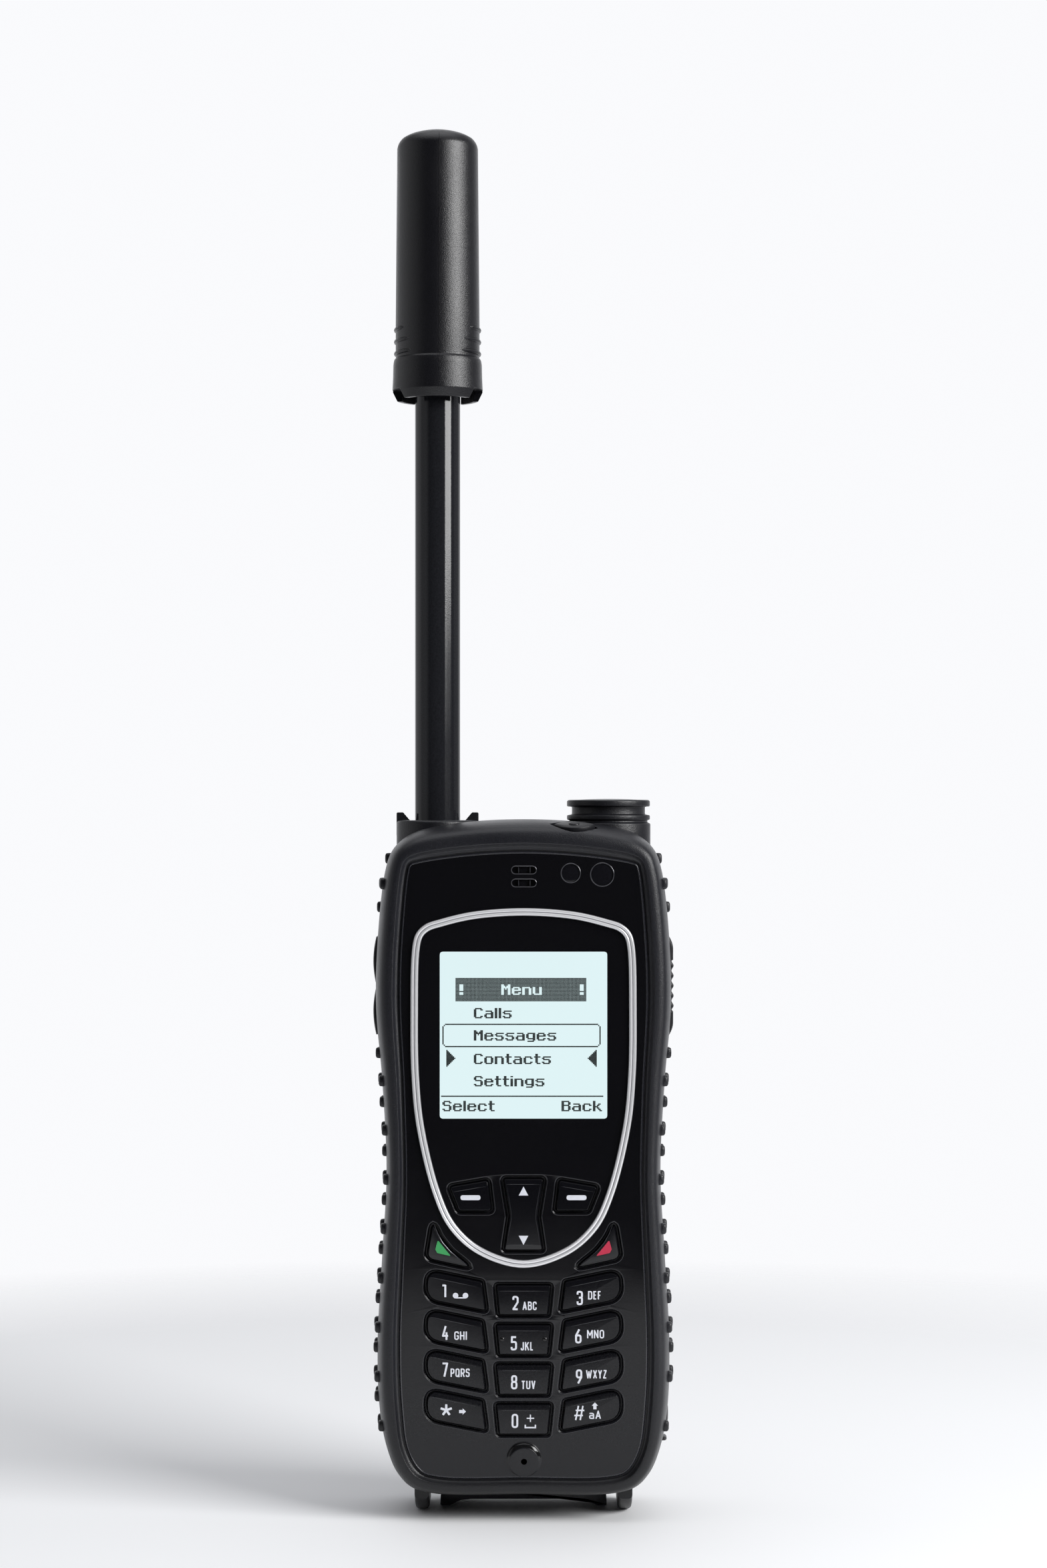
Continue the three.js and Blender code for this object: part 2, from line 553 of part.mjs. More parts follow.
// Connector cover: a rubber flap flush with the flank, with a pull lip and a raised oval
const coverBlock = box(
  [COVER.inner, COVER.y0 + GAP, COVER.z0 + GAP], [35, COVER.y1 - GAP, COVER.z1 - GAP],
);
const coverMiddle = { y: (COVER.y0 + COVER.y1) / 2, z: (COVER.z0 + COVER.z1) / 2 };
const coverOval = toSolid(new THREE.CylinderGeometry(1.6, 1.9, 2, 12).rotateZ(-Math.PI / 2)
  .scale(1, 1, 1.5).translate(28.3, coverMiddle.y, coverMiddle.z));
const pullLip = box(
  [27, coverMiddle.y - 2, COVER.z0 + GAP], [28.6, coverMiddle.y + 2, COVER.z0 + GAP + COVER.lip],
);
add(handset, 'connector_cover', joined([frameBlank.intersect(coverBlock), coverOval, pullLip]), 'rubber');

// ---------------------------------------------------------------- rear casing
function column(x0, x1, y0, y1, z0, z1) {
  return box([x0, y0, z0], [x1, y1, z1]);
}

// The battery's stepped outline, grown by a distance.
function batteryOutline(distance) {
  const { left, right, bottom, step, stepLeft, top } = BATTERY;
  const corners = [
    [left, bottom, 1.5], [right, bottom, 1.5], [right, top, 1.5], [stepLeft, top, 1.5],
    [stepLeft, step, 1], [left, step, 1.5],
  ];
  return rounded(grow(corners.map(([x, z]) => new THREE.Vector2(x, z)), distance)
    .map((p, i) => [p.x, p.y, corners[i][2]]), 2);
}

const screwHoles = SCREWS.flatMap(([x, z, seat]) => [
  turnedBack([[0, seat], [SCREW.head + GAP, seat], [SCREW.head + GAP, BEYOND_Y], [0, BEYOND_Y]], x, z, 10),
  turnedBack([[0, 3], [SCREW.shank + GAP, 3], [SCREW.shank + GAP, seat], [0, seat]], x, z, 10),
]);
const SPEAKER = { x: 0, z: 117.4, radius: 7.2, front: 5, back: 10.4 };
const speakerRoom = column(
  -9.4, 24, 3, SPEAKER.back + 0.8, SPEAKER.z - SPEAKER.radius, SPEAKER.z + SPEAKER.radius,
);
const speakerSlots = [-3, 0, 3].map((dz) => (
  column(-5, 5, SPEAKER.back, BEYOND_Y, SPEAKER.z + dz - 0.6, SPEAKER.z + dz + 0.6)
));
const mastChannel = toSolid(new THREE.CylinderGeometry(
  GUIDE.outer + GAP, GUIDE.outer + GAP, GUIDE.top - GUIDE.bottom + 3, ROUND_STEPS,
).rotateX(Math.PI / 2).translate(MAST.x, MAST.y, (GUIDE.top + GUIDE.bottom) / 2 + 1));
const latchRecess = column(
  LATCH.x0 - GAP, LATCH.x1 + GAP, LATCH.front - GAP, BEYOND_Y, LATCH.z0 - GAP, LATCH.z1 + LATCH.travel + GAP,
);
const CONTACTS = { x0: 3, x1: 12, z0: 85, z1: 89 };
const contactHole = column(CONTACTS.x0 - GAP, CONTACTS.x1 + GAP, 3, 8, CONTACTS.z0 - GAP, CONTACTS.z1 + GAP);
const barRecess = BASE_BAR.half - BASE_BAR.lug;
const baseBar = column(
  -BASE_BAR.half, BASE_BAR.half, BASE_BAR.y0, BASE_BAR.y1, BASE_BAR.bottom, BASE_BAR.top,
).add(column(
  -BASE_BAR.half, BASE_BAR.half, BAR_LEDGE.front, BASE_BAR.y1, BASE_BAR.bottom, BAR_LEDGE.top,
)).subtract(column(-barRecess, barRecess, 0, BEYOND_Y, BASE_BAR.bottom - 1, BASE_BAR.middle));
const SEAL = { outer: 0.52, inner: 0.78, front: 3.2, back: 5.2, top: 124 };
const sealRoom = prism(blend(bodyOutline, plateOutline, SEAL.outer - 0.06), 3, SEAL.back + GAP, [
  blend(bodyOutline, plateOutline, SEAL.inner + 0.06),
]);
const casingBlank = joined([
  loft(shellSections(CASING_SECTIONS)), baseBar,
  ...[-1, 1].map((side) => prism(ribOutline(side, 0), PARTING_Y + GAP, RIB.back)),
]);
add(handset, 'rear_casing', cutBy(casingBlank, [
  prism(batteryOutline(GAP), BAY_FLOOR_Y, BEYOND_Y), ...screwHoles, speakerRoom, ...speakerSlots,
  mastChannel, latchRecess, contactHole, sealRoom, ...cornerWells,
]), 'casing');

const sealRing = prism(blend(bodyOutline, plateOutline, SEAL.outer), SEAL.front, SEAL.back, [
  blend(bodyOutline, plateOutline, SEAL.inner),
]);
add(handset, 'casing_seal', sealRing.subtract(column(-30, 30, 0, 10, SEAL.top, 150)), 'silicone');

SCREWS.forEach(([x, z, seat], i) => {
  const top = seat + GAP;
  const tip = top - SCREW.length;
  const profile = [
    [0, tip], [SCREW.shank, tip], [SCREW.shank, top], [SCREW.head, top],
    [SCREW.head, top + SCREW.headHeight * 0.6], [SCREW.head * 0.7, top + SCREW.headHeight],
    [0, top + SCREW.headHeight],
  ];
  add(handset, `screw_${i + 1}`, turnedBack(profile, x, z, 10), 'steel');
});

// ---------------------------------------------------------------- antenna
add(antenna, 'antenna_mast', turned([
  [MAST.bore, MAST.bottom], [COLLAR_RADIUS, MAST.bottom], [COLLAR_RADIUS, MAST.bottom + 3],
  [MAST.radius, MAST.bottom + 3.4], [MAST.radius, MAST.top], [MAST.bore, MAST.top],
  [MAST.bore, MAST.bottom],
]), 'gloss');

const headShell = turned([
  [0, 272], [HEAD.bore, 272], [HEAD.bore, 234], [HEAD.skirtBore, 232], [HEAD.skirtBore, HEAD.bottom],
  ...HEAD_PROFILE,
]);
// Where the skirt is cut away: [degrees, half width]; the cup's fins pass through when it is stowed
const NOTCHES = [[194.5, 3.3], [345.5, 3.3], [62, 1.3], [118, 1.3]];
const headNotches = NOTCHES.map(([degrees, half]) => (
  column(5, 12, -half, half, HEAD.bottom - 1, HEAD.bottom + 2.1).rotate([0, 0, degrees])
));
const gripRibs = GRIP_RIB.heights.flatMap((z, i) => [-1, 1].map((side) => {
  const [x0, x1] = [side * 7.8, side * GRIP_RIB.reach].sort((a, b) => a - b);
  const half = GRIP_RIB.halves[i];
  return column(x0, x1, -half, half, z - GRIP_RIB.rise, z + GRIP_RIB.rise);
}));
add(antenna, 'antenna_head', cutBy(joined([headShell, ...gripRibs]), headNotches), 'casing');
add(antenna, 'antenna_element', turned([
  [0, 234.5], [2.6, 234.5], [2.6, 236], [5.6, 236.5], [5.6, 268], [4.8, 269], [0, 269],
]), 'ceramic');
add(antenna, 'mast_guide', turned([
  [GUIDE.inner, GUIDE.bottom], [GUIDE.outer, GUIDE.bottom], [GUIDE.outer, GUIDE.top],
  [GUIDE.inner, GUIDE.top], [GUIDE.inner, GUIDE.bottom],
]), 'steel');

// The cup that the mast comes out of, with fins that the stowed head drops over
const cupBody = turned([
  [CUP.bore, CUP.bottom], [CUP.radius, CUP.bottom], [CUP.radius, CUP.rim - 0.4], [CUP.radius - 0.4, CUP.rim],
  [7.3, CUP.rim], [7.1, CUP.floor], [CUP.bore, CUP.floor], [CUP.bore, CUP.bottom],
]);
const FIN_OUTLINE = [
  [5.3, CUP.floor - 1], [CUP.radius, CUP.floor - 1], [CUP.radius, CUP.finTop], [7, CUP.finTop], [5.3, CUP.floor + 1.6],
];
const FIN_ANGLES = [0, 62, 118, 180];
const fins = FIN_ANGLES.map((degrees) => (
  prism(FIN_OUTLINE.map(([x, z]) => new THREE.Vector2(x, z)), -0.7, 0.7).rotate([0, 0, degrees])
));
add(antenna, 'antenna_cup', joined([cupBody, ...fins]), 'casing');

// ---------------------------------------------------------------- positioning antenna
const gps = new THREE.Group();
gps.position.set(GPS.x, GPS.y, 0);
handset.add(gps);
add(gps, 'gps_housing', turned([
  [0, 141], [6.5, 141], [6.5, GPS.bottom], [GPS.radius, GPS.bottom], [GPS.radius, 137.8], [7.9, 138.1],
  [7.9, 138.5], [8.4, 138.7], [8.4, 139.4], [7.4, 139.7], [7.4, 141.2], [8.4, 141.4], [8.4, 142.3],
  [8.1, 142.6], [7, 142.6], [6.9, 142.1], [0, 142.1],
]), 'casing');
add(gps, 'gps_cap', turned([[0, 142.4], [6.6, 142.4], [6.6, 142.6], [4.4, 142.85], [0, 142.9]]), 'gloss');
add(gps, 'gps_patch', column(-4.4, 4.4, -4.4, 4.4, 134.5, 139), 'ceramic');

// ---------------------------------------------------------------- battery and latch
const shellBlank = prism(batteryOutline(0), BATTERY.front, BATTERY_BACK_Y);
const CELL = { x0: -7.8, x1: 21.8, z0: 13.8, z1: 94.5, front: 6.2, back: 12.4 };
const cellRoom = column(
  CELL.x0 - GAP, CELL.x1 + GAP, 0, CELL.back + GAP, CELL.z0 - GAP, CELL.z1 + GAP,
);
const fingerOutline = rectangle(2, 12, BATTERY.bottom + 3, BATTERY.bottom + 6, 1.4);
const fingerGroove = prism(fingerOutline, BATTERY_BACK_Y - 0.6, BEYOND_Y);
add(battery, 'battery_shell', cutBy(shellBlank, [cellRoom, fingerGroove]), 'casing');
add(battery, 'battery_cell', column(CELL.x0, CELL.x1, CELL.front, CELL.back, CELL.z0, CELL.z1), 'cell');
const latchBlank = column(LATCH.x0, LATCH.x1, LATCH.front, CASING_BACK_Y, LATCH.z0, LATCH.z1);
const latchGrooves = [-1.6, 0, 1.6].map((dz) => {
  const z = (LATCH.z0 + LATCH.z1) / 2 + dz;
  return column(LATCH.x0 + 2, LATCH.x1 - 2, CASING_BACK_Y - 0.4, BEYOND_Y, z - 0.35, z + 0.35);
});
add(battery, 'battery_latch', cutBy(latchBlank, latchGrooves), 'casing');

// ---------------------------------------------------------------- pieces inside
add(handset, 'lcd_module', prism(rectangle(-19, 19, 76, 117.5, 1), PLATE_BACK_Y + GAP, -7.4), 'screen');
add(handset, 'keypad_mat', prism(rectangle(-20.5, 20.5, 14.8, 71, 4), MAT_FRONT_Y, -8.6), 'silicone');
const boardOutline = rounded([
  [-18, 15, 0], [18, 15, 0], [22.5, 21, 0], [23, 122, 0], [18, 128, 0], [-18, 128, 0], [-23, 122, 0],
  [-22.5, 21, 0],
]);
add(handset, 'main_board', prism(boardOutline, BOARD_FRONT_Y, BOARD_BACK_Y), 'board');
add(handset, 'rf_shield', column(-9, 20, BOARD_BACK_Y + GAP, -3.2, 62, 97), 'steel');
add(handset, 'sim_card', column(-6, 9, BOARD_BACK_Y + GAP, -4.9, 30, 42), 'cell');
add(handset, 'earpiece', prism(rectangle(-6.5, 6.5, 123.8, 130.6, 3), PLATE_BACK_Y + GAP, -8.2), 'steel');
add(handset, 'microphone', turnedBack([
  [0, PLATE_BACK_Y + GAP], [2.1, PLATE_BACK_Y + GAP], [2.1, -8.4], [0, -8.4],
], MIC.x, MIC.z, 16), 'steel');
add(handset, 'loudspeaker', turnedBack([
  [0, SPEAKER.front], [SPEAKER.radius - 2, SPEAKER.front], [SPEAKER.radius - 2, 7],
  [SPEAKER.radius, 7.4], [SPEAKER.radius, SPEAKER.back], [0, SPEAKER.back],
], SPEAKER.x, SPEAKER.z), 'steel');
add(handset, 'vibration_motor', toSolid(
  new THREE.CylinderGeometry(2.5, 2.5, 10, 16).rotateZ(Math.PI / 2).translate(16, -2.9, 106),
), 'steel');
add(handset, 'battery_contacts', joined([
  column(CONTACTS.x0, CONTACTS.x1, 2.6, BAY_FLOOR_Y - 0.4, CONTACTS.z0, CONTACTS.z1),
  ...[0, 1, 2, 3].map((i) => {
    const x = CONTACTS.x0 + 1.4 + i * 2.1;
    return column(x - 0.5, x + 0.5, 3, BAY_FLOOR_Y - 0.1, CONTACTS.z0 + 0.6, CONTACTS.z1 - 0.6);
  }),
]), 'gold');
add(handset, 'data_connector', cutBy(column(20, 26, BOARD_BACK_Y + GAP, -2.6, 15.8, 23.8), [
  column(21, 27, BOARD_BACK_Y + 0.8, -3.1, 16.3, 23.3),
]).add(column(20.5, 25, -4.5, -4, 17.2, 22.4)), 'steel');
add(handset, 'audio_jack', toSolid(
  new THREE.CylinderGeometry(2.2, 2.2, 11, 16).rotateZ(Math.PI / 2).translate(20.5, 0.2, 19.8),
).subtract(toSolid(
  new THREE.CylinderGeometry(1.3, 1.3, 11, 16).rotateZ(Math.PI / 2).translate(21.5, 0.2, 19.8),
)), 'gold');

export default handset;
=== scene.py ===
"""Rugged satellite handset: the looks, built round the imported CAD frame.

Shapes are in millimetres and become metres in mesh_object(). Lights, camera and the scales of
noise are in metres. The front looks along -Y and +Z is up.
"""
import math

import bmesh
import bpy
from mathutils import Matrix, Vector
from mathutils.geometry import tessellate_polygon


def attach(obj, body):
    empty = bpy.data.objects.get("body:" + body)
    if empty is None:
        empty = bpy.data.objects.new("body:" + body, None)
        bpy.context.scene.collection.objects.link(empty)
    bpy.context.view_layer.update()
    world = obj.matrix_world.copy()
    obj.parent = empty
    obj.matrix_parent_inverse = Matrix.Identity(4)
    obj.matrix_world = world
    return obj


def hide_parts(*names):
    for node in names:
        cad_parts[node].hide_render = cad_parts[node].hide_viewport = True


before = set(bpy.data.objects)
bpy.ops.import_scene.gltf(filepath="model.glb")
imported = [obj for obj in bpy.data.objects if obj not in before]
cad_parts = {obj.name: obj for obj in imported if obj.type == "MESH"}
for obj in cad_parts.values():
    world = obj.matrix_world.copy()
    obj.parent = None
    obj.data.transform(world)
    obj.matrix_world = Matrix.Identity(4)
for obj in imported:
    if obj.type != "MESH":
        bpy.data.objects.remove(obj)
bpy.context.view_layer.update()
MM = 0.001

# ------------------------------------------------------------------ driving sizes, as in the CAD
BODY_STATIONS = [
    (0, 138.7), (12.8, 138.0), (21.9, 136.1), (25.9, 133.0), (27.5, 129.2), (29.2, 114.7),
    (29.5, 101), (28.3, 87), (27.4, 68.5), (28.2, 53), (29.2, 34), (28.8, 21.5),
    (27.4, 14.0), (25.3, 8.9), (21.6, 5.55), (0, 4.65),
]
PLATE_STATIONS = [
    (0, 132.4), (12, 131.75), (21.0, 130.4), (22.4, 129.9), (22.9, 128.7), (24.25, 115),
    (24.6, 103), (23.8, 86), (23.4, 67), (23.95, 52), (24.55, 35), (24.1, 22.5),
    (22.9, 14.3), (20.3, 10.05), (16.4, 8.9), (0, 8.8),
]
RING_STATIONS = [
    (0, 121.2), (10, 120.5), (16.5, 119.0), (19.4, 118.0), (21.1, 116.4), (21.9, 113.8), (22.3, 100),
    (22.1, 88.1), (21.1, 78.1), (17.8, 64.7), (14.6, 58), (9, 53), (0, 50.3),
]
PLATE_Y = -13.2
PLATE_BACK_Y = -11.0
FACE_Y = -13.8
PARTING_Y = 4.0
GAP = 0.3
MAST_X, AXIS_Y, GPS_X = -17.4, 5.0, 17.2
WELLS = [(MAST_X, 8.6), (GPS_X, 8.8)]
WELL_BOTTOM = 130.2
SIDE_Y = (-5.0, 3.0)
SIDE_Z = (95.3, 115.6)
SIDE_IN, SIDE_OUT = 26.4, 30.0
COVER_Y = (-6.2, 3.4)
COVER_Z = (13.8, 25.7)
POWER_AT, POWER_TILT = (10.0, -10.6, 137.6), 0.27


# ------------------------------------------------------------------ materials
def feed(tree, made, **values):
    """Gives a node its settings, its inputs' values and, where a value is a socket, its links."""
    for name, value in values.items():
        if hasattr(made, name):
            setattr(made, name, value)
        elif isinstance(value, bpy.types.NodeSocket):
            tree.links.new(value, made.inputs[name.replace("_", " ")])
        else:
            made.inputs[name.replace("_", " ")].default_value = value


def node(tree, kind, **values):
    made = tree.nodes.new(kind)
    feed(tree, made, **values)
    return made


def noise(tree, coords, scale, detail=4.0):
    return node(tree, "ShaderNodeTexNoise", Vector=coords, Scale=scale, Detail=detail).outputs["Fac"]


def ramp(tree, value, low, high, start=0.3, end=0.7):
    made = node(
        tree, "ShaderNodeMapRange", Value=value, From_Min=start, From_Max=end, To_Min=low, To_Max=high)
    return made.outputs["Result"]


def scaled(colour, share):
    return tuple(c * share for c in colour)


def mix_colour(tree, amount, first, second):
    """Mixes two colours, each given as numbers or as a link."""
    made = node(tree, "ShaderNodeMix", data_type="RGBA")
    sockets = [s for s in made.inputs if s.type == "RGBA"]
    for socket, colour in zip(sockets, (first, second)):
        if isinstance(colour, tuple):
            socket.default_value = (*colour, 1.0)
        else:
            tree.links.new(colour, socket)
    tree.links.new(amount, made.inputs[0])
    return [s for s in made.outputs if s.type == "RGBA"][0]


def split_axes(tree, coords):
    return node(tree, "ShaderNodeSeparateXYZ", Vector=coords).outputs


def start_material(name, roughness, metallic=0.0, specular=0.5):
    made = bpy.data.materials.new(name)
    made.use_nodes = True
    tree = made.node_tree
    shader = tree.nodes["Principled BSDF"]
    feed(tree, shader, Roughness=roughness, Metallic=metallic, Specular_IOR_Level=specular)
    coords = node(tree, "ShaderNodeTexCoord").outputs["Object"]
    return made, tree, shader, coords


# The heights in mm between which painted shade darkens a moulded surface towards its bottom
PAINTED_SHADE_Z = (4, 34)


def moulded(name, colour, roughness, grain, depth, spread=0.25, specular=0.5, metallic=0.0, foot=1.0):
    """Moulded plastic or rubber: grain of a size and depth in mm, with uneven sheen and tone.

    Between two low heights, given in mm, its tone falls to the foot share: painted shade, the lower part
    darker as if in shadow.
    """
    made, tree, shader, coords = start_material(name, roughness, metallic, specular)
    fine = noise(tree, coords, 1.0 / (grain * MM), 3.0)
    broad = noise(tree, coords, 90.0, 5.0)
    speckle = ramp(tree, fine, 0.0, 1.0)
    tone = mix_colour(tree, speckle, scaled(colour, 1 - spread), scaled(colour, 1 + spread))
    # painted shade: the tone darkens towards the bottom
    if foot < 1.0:
        height = ramp(tree, split_axes(tree, coords)["Z"], 0.0, 1.0, PAINTED_SHADE_Z[0] * MM, PAINTED_SHADE_Z[1] * MM)
        tone = mix_colour(tree, height, scaled(colour, foot), tone)
    sheen = ramp(tree, broad, roughness * 0.9, roughness * 1.1)
    bump = node(tree, "ShaderNodeBump", Strength=0.6, Distance=depth * MM, Height=fine)
    feed(tree, shader, Base_Color=tone, Roughness=sheen, Normal=bump.outputs["Normal"])
    return made


def plate_finish(name, polished, grained, change):
    """Polished black that turns to a fine satin grain below a height, given as a range in mm."""
    made, tree, shader, coords = start_material(name, 0.12, 0.0, 0.5)
    satin = ramp(tree, split_axes(tree, coords)["Z"], 1.0, 0.0, change[0] * MM, change[1] * MM)
    specks = noise(tree, coords, 2500.0, 2.0)
    smears = ramp(tree, noise(tree, coords, 60.0, 4.0), 0.07, 0.15)
    rough = node(
        tree, "ShaderNodeMix", data_type="FLOAT", Factor=satin, A=smears, B=ramp(tree, specks, 0.30, 0.42))
    strength = ramp(tree, satin, 0.04, 0.8, 0.0, 1.0)
    bump = node(tree, "ShaderNodeBump", Distance=0.012 * MM, Strength=strength, Height=specks)
    colour = mix_colour(tree, satin, polished, grained)
    feed(tree, shader, Base_Color=colour, Roughness=rough.outputs[0], Normal=bump.outputs["Normal"])
    return made


def brushed(name, colour, roughness, stretch):
    """Metal with a fine lengthwise grain."""
    made, tree, shader, coords = start_material(name, roughness, 1.0)
    mapping = node(tree, "ShaderNodeMapping", Vector=coords, Scale=stretch)
    grain = noise(tree, mapping.outputs["Vector"], 900.0, 4.0)
    tone = mix_colour(tree, ramp(tree, grain, 0.0, 1.0), scaled(colour, 0.85), colour)
    feed(tree, shader, Base_Color=tone, Roughness=ramp(tree, grain, roughness * 0.8, roughness * 1.2))
    return made


RIDGE_Y, GROOVE_Y = -13.77, -13.60


def metal_with_painted_ridge_light(name):
    """Satin metal whose colour holds painted light: bright on its ridges as a painted highlight, darker down
    in the groove and at its feet as painted shade.
    """
    made, tree, shader, coords = start_material(name, 0.22, 0.42)
    # painted highlight and shade: the colour runs from bright at the ridges' depth to dark at the groove's
    # depth and behind it
    depth = ramp(tree, split_axes(tree, coords)["Y"], 1.0, 0.0, RIDGE_Y * MM, GROOVE_Y * MM)
    fine = ramp(tree, noise(tree, coords, 2200.0, 2.0), 0.0, 1.0)
    low = mix_colour(tree, fine, (0.44, 0.44, 0.46), (0.50, 0.50, 0.52))
    high = mix_colour(tree, fine, (0.93, 0.93, 0.95), (0.96, 0.96, 0.98))
    feed(tree, shader, Base_Color=mix_colour(tree, depth, low, high))
    return made


def printed(name, colour):
    """Screen-printed ink: nearly flat, a little uneven."""
    made, tree, shader, coords = start_material(name, 0.5)
    cloud = ramp(tree, noise(tree, coords, 1500.0, 2.0), 0.0, 1.0)
    tone = mix_colour(tree, cloud, scaled(colour, 0.93), colour)
    feed(tree, shader, Base_Color=tone, Roughness=ramp(tree, cloud, 0.42, 0.58, 0.0, 1.0))
    return made


def lit_panel(name, colour, strength):
    """A backlit panel with faintly uneven light, under a glossy window."""
    made, tree, shader, coords = start_material(name, 0.12)
    cloud = ramp(tree, noise(tree, coords, 25.0, 1.0), 0.0, 1.0)
    base = mix_colour(tree, cloud, (0.05, 0.055, 0.055), (0.06, 0.065, 0.065))
    glow = mix_colour(tree, cloud, scaled(colour, 0.985), colour)
    feed(tree, shader, Base_Color=base, Emission_Color=glow, Emission_Strength=strength)
    return made


def circuit(name):
    """Green solder mask with copper runs showing through as lighter cells."""
    made, tree, shader, coords = start_material(name, 0.35)
    cells = node(tree, "ShaderNodeTexVoronoi", feature="DISTANCE_TO_EDGE", Vector=coords, Scale=420.0)
    lines = ramp(tree, cells.outputs["Distance"], 1.0, 0.0, 0.02, 0.06)
    feed(tree, shader, Base_Color=mix_colour(tree, lines, (0.01, 0.09, 0.035), (0.05, 0.24, 0.1)))
    return made


MATERIALS = {
    # rubber: painted shade darkens its lower part
    "rubber": moulded("rubber_skin", (0.0108, 0.0112, 0.0150), 0.36, 0.19, 0.095, 0.30, 0.5, foot=0.3),
    "casing": moulded("casing_plastic", (0.0095, 0.0098, 0.0128), 0.38, 0.26, 0.090, 0.25, 0.5),
    # base: lighter than the casing plastic, as painted light thrown up from the floor onto the bar and ribs
    "base": moulded("bar_plastic_painted_light", (0.024, 0.0245, 0.029), 0.40, 0.26, 0.03, 0.2, 0.5),
    "head": moulded("antenna_plastic", (0.0074, 0.0074, 0.0098), 0.30, 0.17, 0.085, 0.3, 0.55),
    "keys": moulded("key_plastic", (0.0070, 0.0071, 0.0094), 0.34, 0.18, 0.030, 0.25, 0.45),
    "gloss": moulded("polished_black", (0.006, 0.006, 0.0065), 0.10, 0.5, 0.0015, 0.2, 0.5),
    "mast": moulded("mast_enamel", (0.0145, 0.015, 0.0180), 0.10, 0.3, 0.006, 0.2, 0.4),
    "plate": plate_finish("plate_black", (0.0042, 0.0042, 0.0054), (0.0044, 0.0045, 0.0066), (8, 50)),
    "front_keys": plate_finish(
        "front_key_plastic", (0.0040, 0.0041, 0.0056), (0.0036, 0.0037, 0.0054), (10, 66)),
    # edge: a lighter plastic for beads and lines that stand in for light caught by edges, as painted
    # highlights
    "edge": moulded("painted_highlight_edge", (0.024, 0.0245, 0.030), 0.16, 0.3, 0.003, 0.2, 0.9),
    # rim: also used for the brightest painted highlight lines on keys
    "rim": moulded("dark_rim", (0.055, 0.055, 0.064), 0.22, 0.2, 0.003, 0.15, 0.9, 0.3),
    "chrome": metal_with_painted_ridge_light("satin_chrome"),
    "steel": brushed("plated_steel", (0.52, 0.52, 0.53), 0.32, (1.0, 1.0, 0.05)),
    "gold": brushed("gold_plate", (0.78, 0.58, 0.25), 0.28, (1.0, 1.0, 0.3)),
    "white": printed("white_print", (0.80, 0.82, 0.89)),
    "green": printed("green_print", (0.050, 0.36, 0.11)),
    "red": printed("red_print", (0.56, 0.030, 0.075)),
    "dots": printed("screen_dots", (0.018, 0.026, 0.026)),
    "screen": lit_panel("backlit_panel", (0.75, 0.92, 0.94), 0.93),
    "lens": moulded("dark_lens", (0.006, 0.006, 0.008), 0.06, 0.6, 0.001, 0.2, 0.6),
    "board": circuit("green_board"),
    "mat": moulded("black_silicone", (0.004, 0.004, 0.0045), 0.7, 0.3, 0.02),
    "silicone": moulded("grey_silicone", (0.16, 0.165, 0.17), 0.6, 0.3, 0.02),
    "ceramic": moulded("pale_ceramic", (0.60, 0.57, 0.50), 0.5, 0.25, 0.02, 0.06),
    "cell": moulded("cell_wrap", (0.22, 0.25, 0.28), 0.35, 0.8, 0.01, 0.08),
}


# ------------------------------------------------------------------ outlines, as (x, z) points
def through(stations, steps=8):
    """A smooth closed outline through stations and their mirror image: centripetal Catmull-Rom."""
    right = [Vector(p) for p in stations]
    knots = right + [Vector((-p.x, p.y)) for p in reversed(right[1:-1])]
    count = len(knots)
    points = []
    for i in range(count):
        p = [knots[(i + k - 1) % count] for k in range(4)]
        t = [0.0]
        for k in range(3):
            t.append(t[-1] + max((p[k + 1] - p[k]).length, 1e-6) ** 0.5)
        for s in range(steps):
            u = t[1] + (t[2] - t[1]) * s / steps
            a = [p[k].lerp(p[k + 1], (u - t[k]) / (t[k + 1] - t[k])) for k in range(3)]
            b = [a[k].lerp(a[k + 1], (u - t[k]) / (t[k + 2] - t[k])) for k in range(2)]
            points.append(b[0].lerp(b[1], (u - t[1]) / (t[2] - t[1])))
    return points[::-1]


def grow(outline, distance):
    """Moves every side of an anticlockwise outline outwards by a distance."""
    count = len(outline)
    moved = []
    for i, point in enumerate(outline):
        before = (point - outline[i - 1]).normalized()
        after = (outline[(i + 1) % count] - point).normalized()
        first, second = Vector((before.y, -before.x)), Vector((after.y, -after.x))
        mitre = (first + second).normalized()
        moved.append(point + mitre * (distance / max(mitre.dot(first), 0.3)))
    return moved


def blended(first, second, amount):
    return [a.lerp(b, amount) for a, b in zip(first, second)]


def rounded(corners, steps=6):
    """Rounds the corners of an anticlockwise (x, z, radius) polygon."""
    count = len(corners)
    points = []
    for i, (x, z, radius) in enumerate(corners):
        here = Vector((x, z))
        if radius == 0:
            points.append(here)
            continue
        arms = [(Vector(corners[k % count][:2]) - here).normalized() for k in (i - 1, i + 1)]
        reach = radius / math.tan(arms[0].angle(arms[1]) / 2)
        start, end = [here + arm * reach for arm in arms]
        for s in range(steps + 1):
            t = s / steps
            points.append(start.lerp(here, t).lerp(here.lerp(end, t), t))
    return points


def rectangle(x0, x1, z0, z1, radius, steps=6):
    return rounded([(x0, z0, radius), (x1, z0, radius), (x1, z1, radius), (x0, z1, radius)], steps)


def circle(x, z, radius, steps=32):
    turns = [2 * math.pi * i / steps for i in range(steps)]
    return [Vector((x + radius * math.cos(a), z + radius * math.sin(a))) for a in turns]


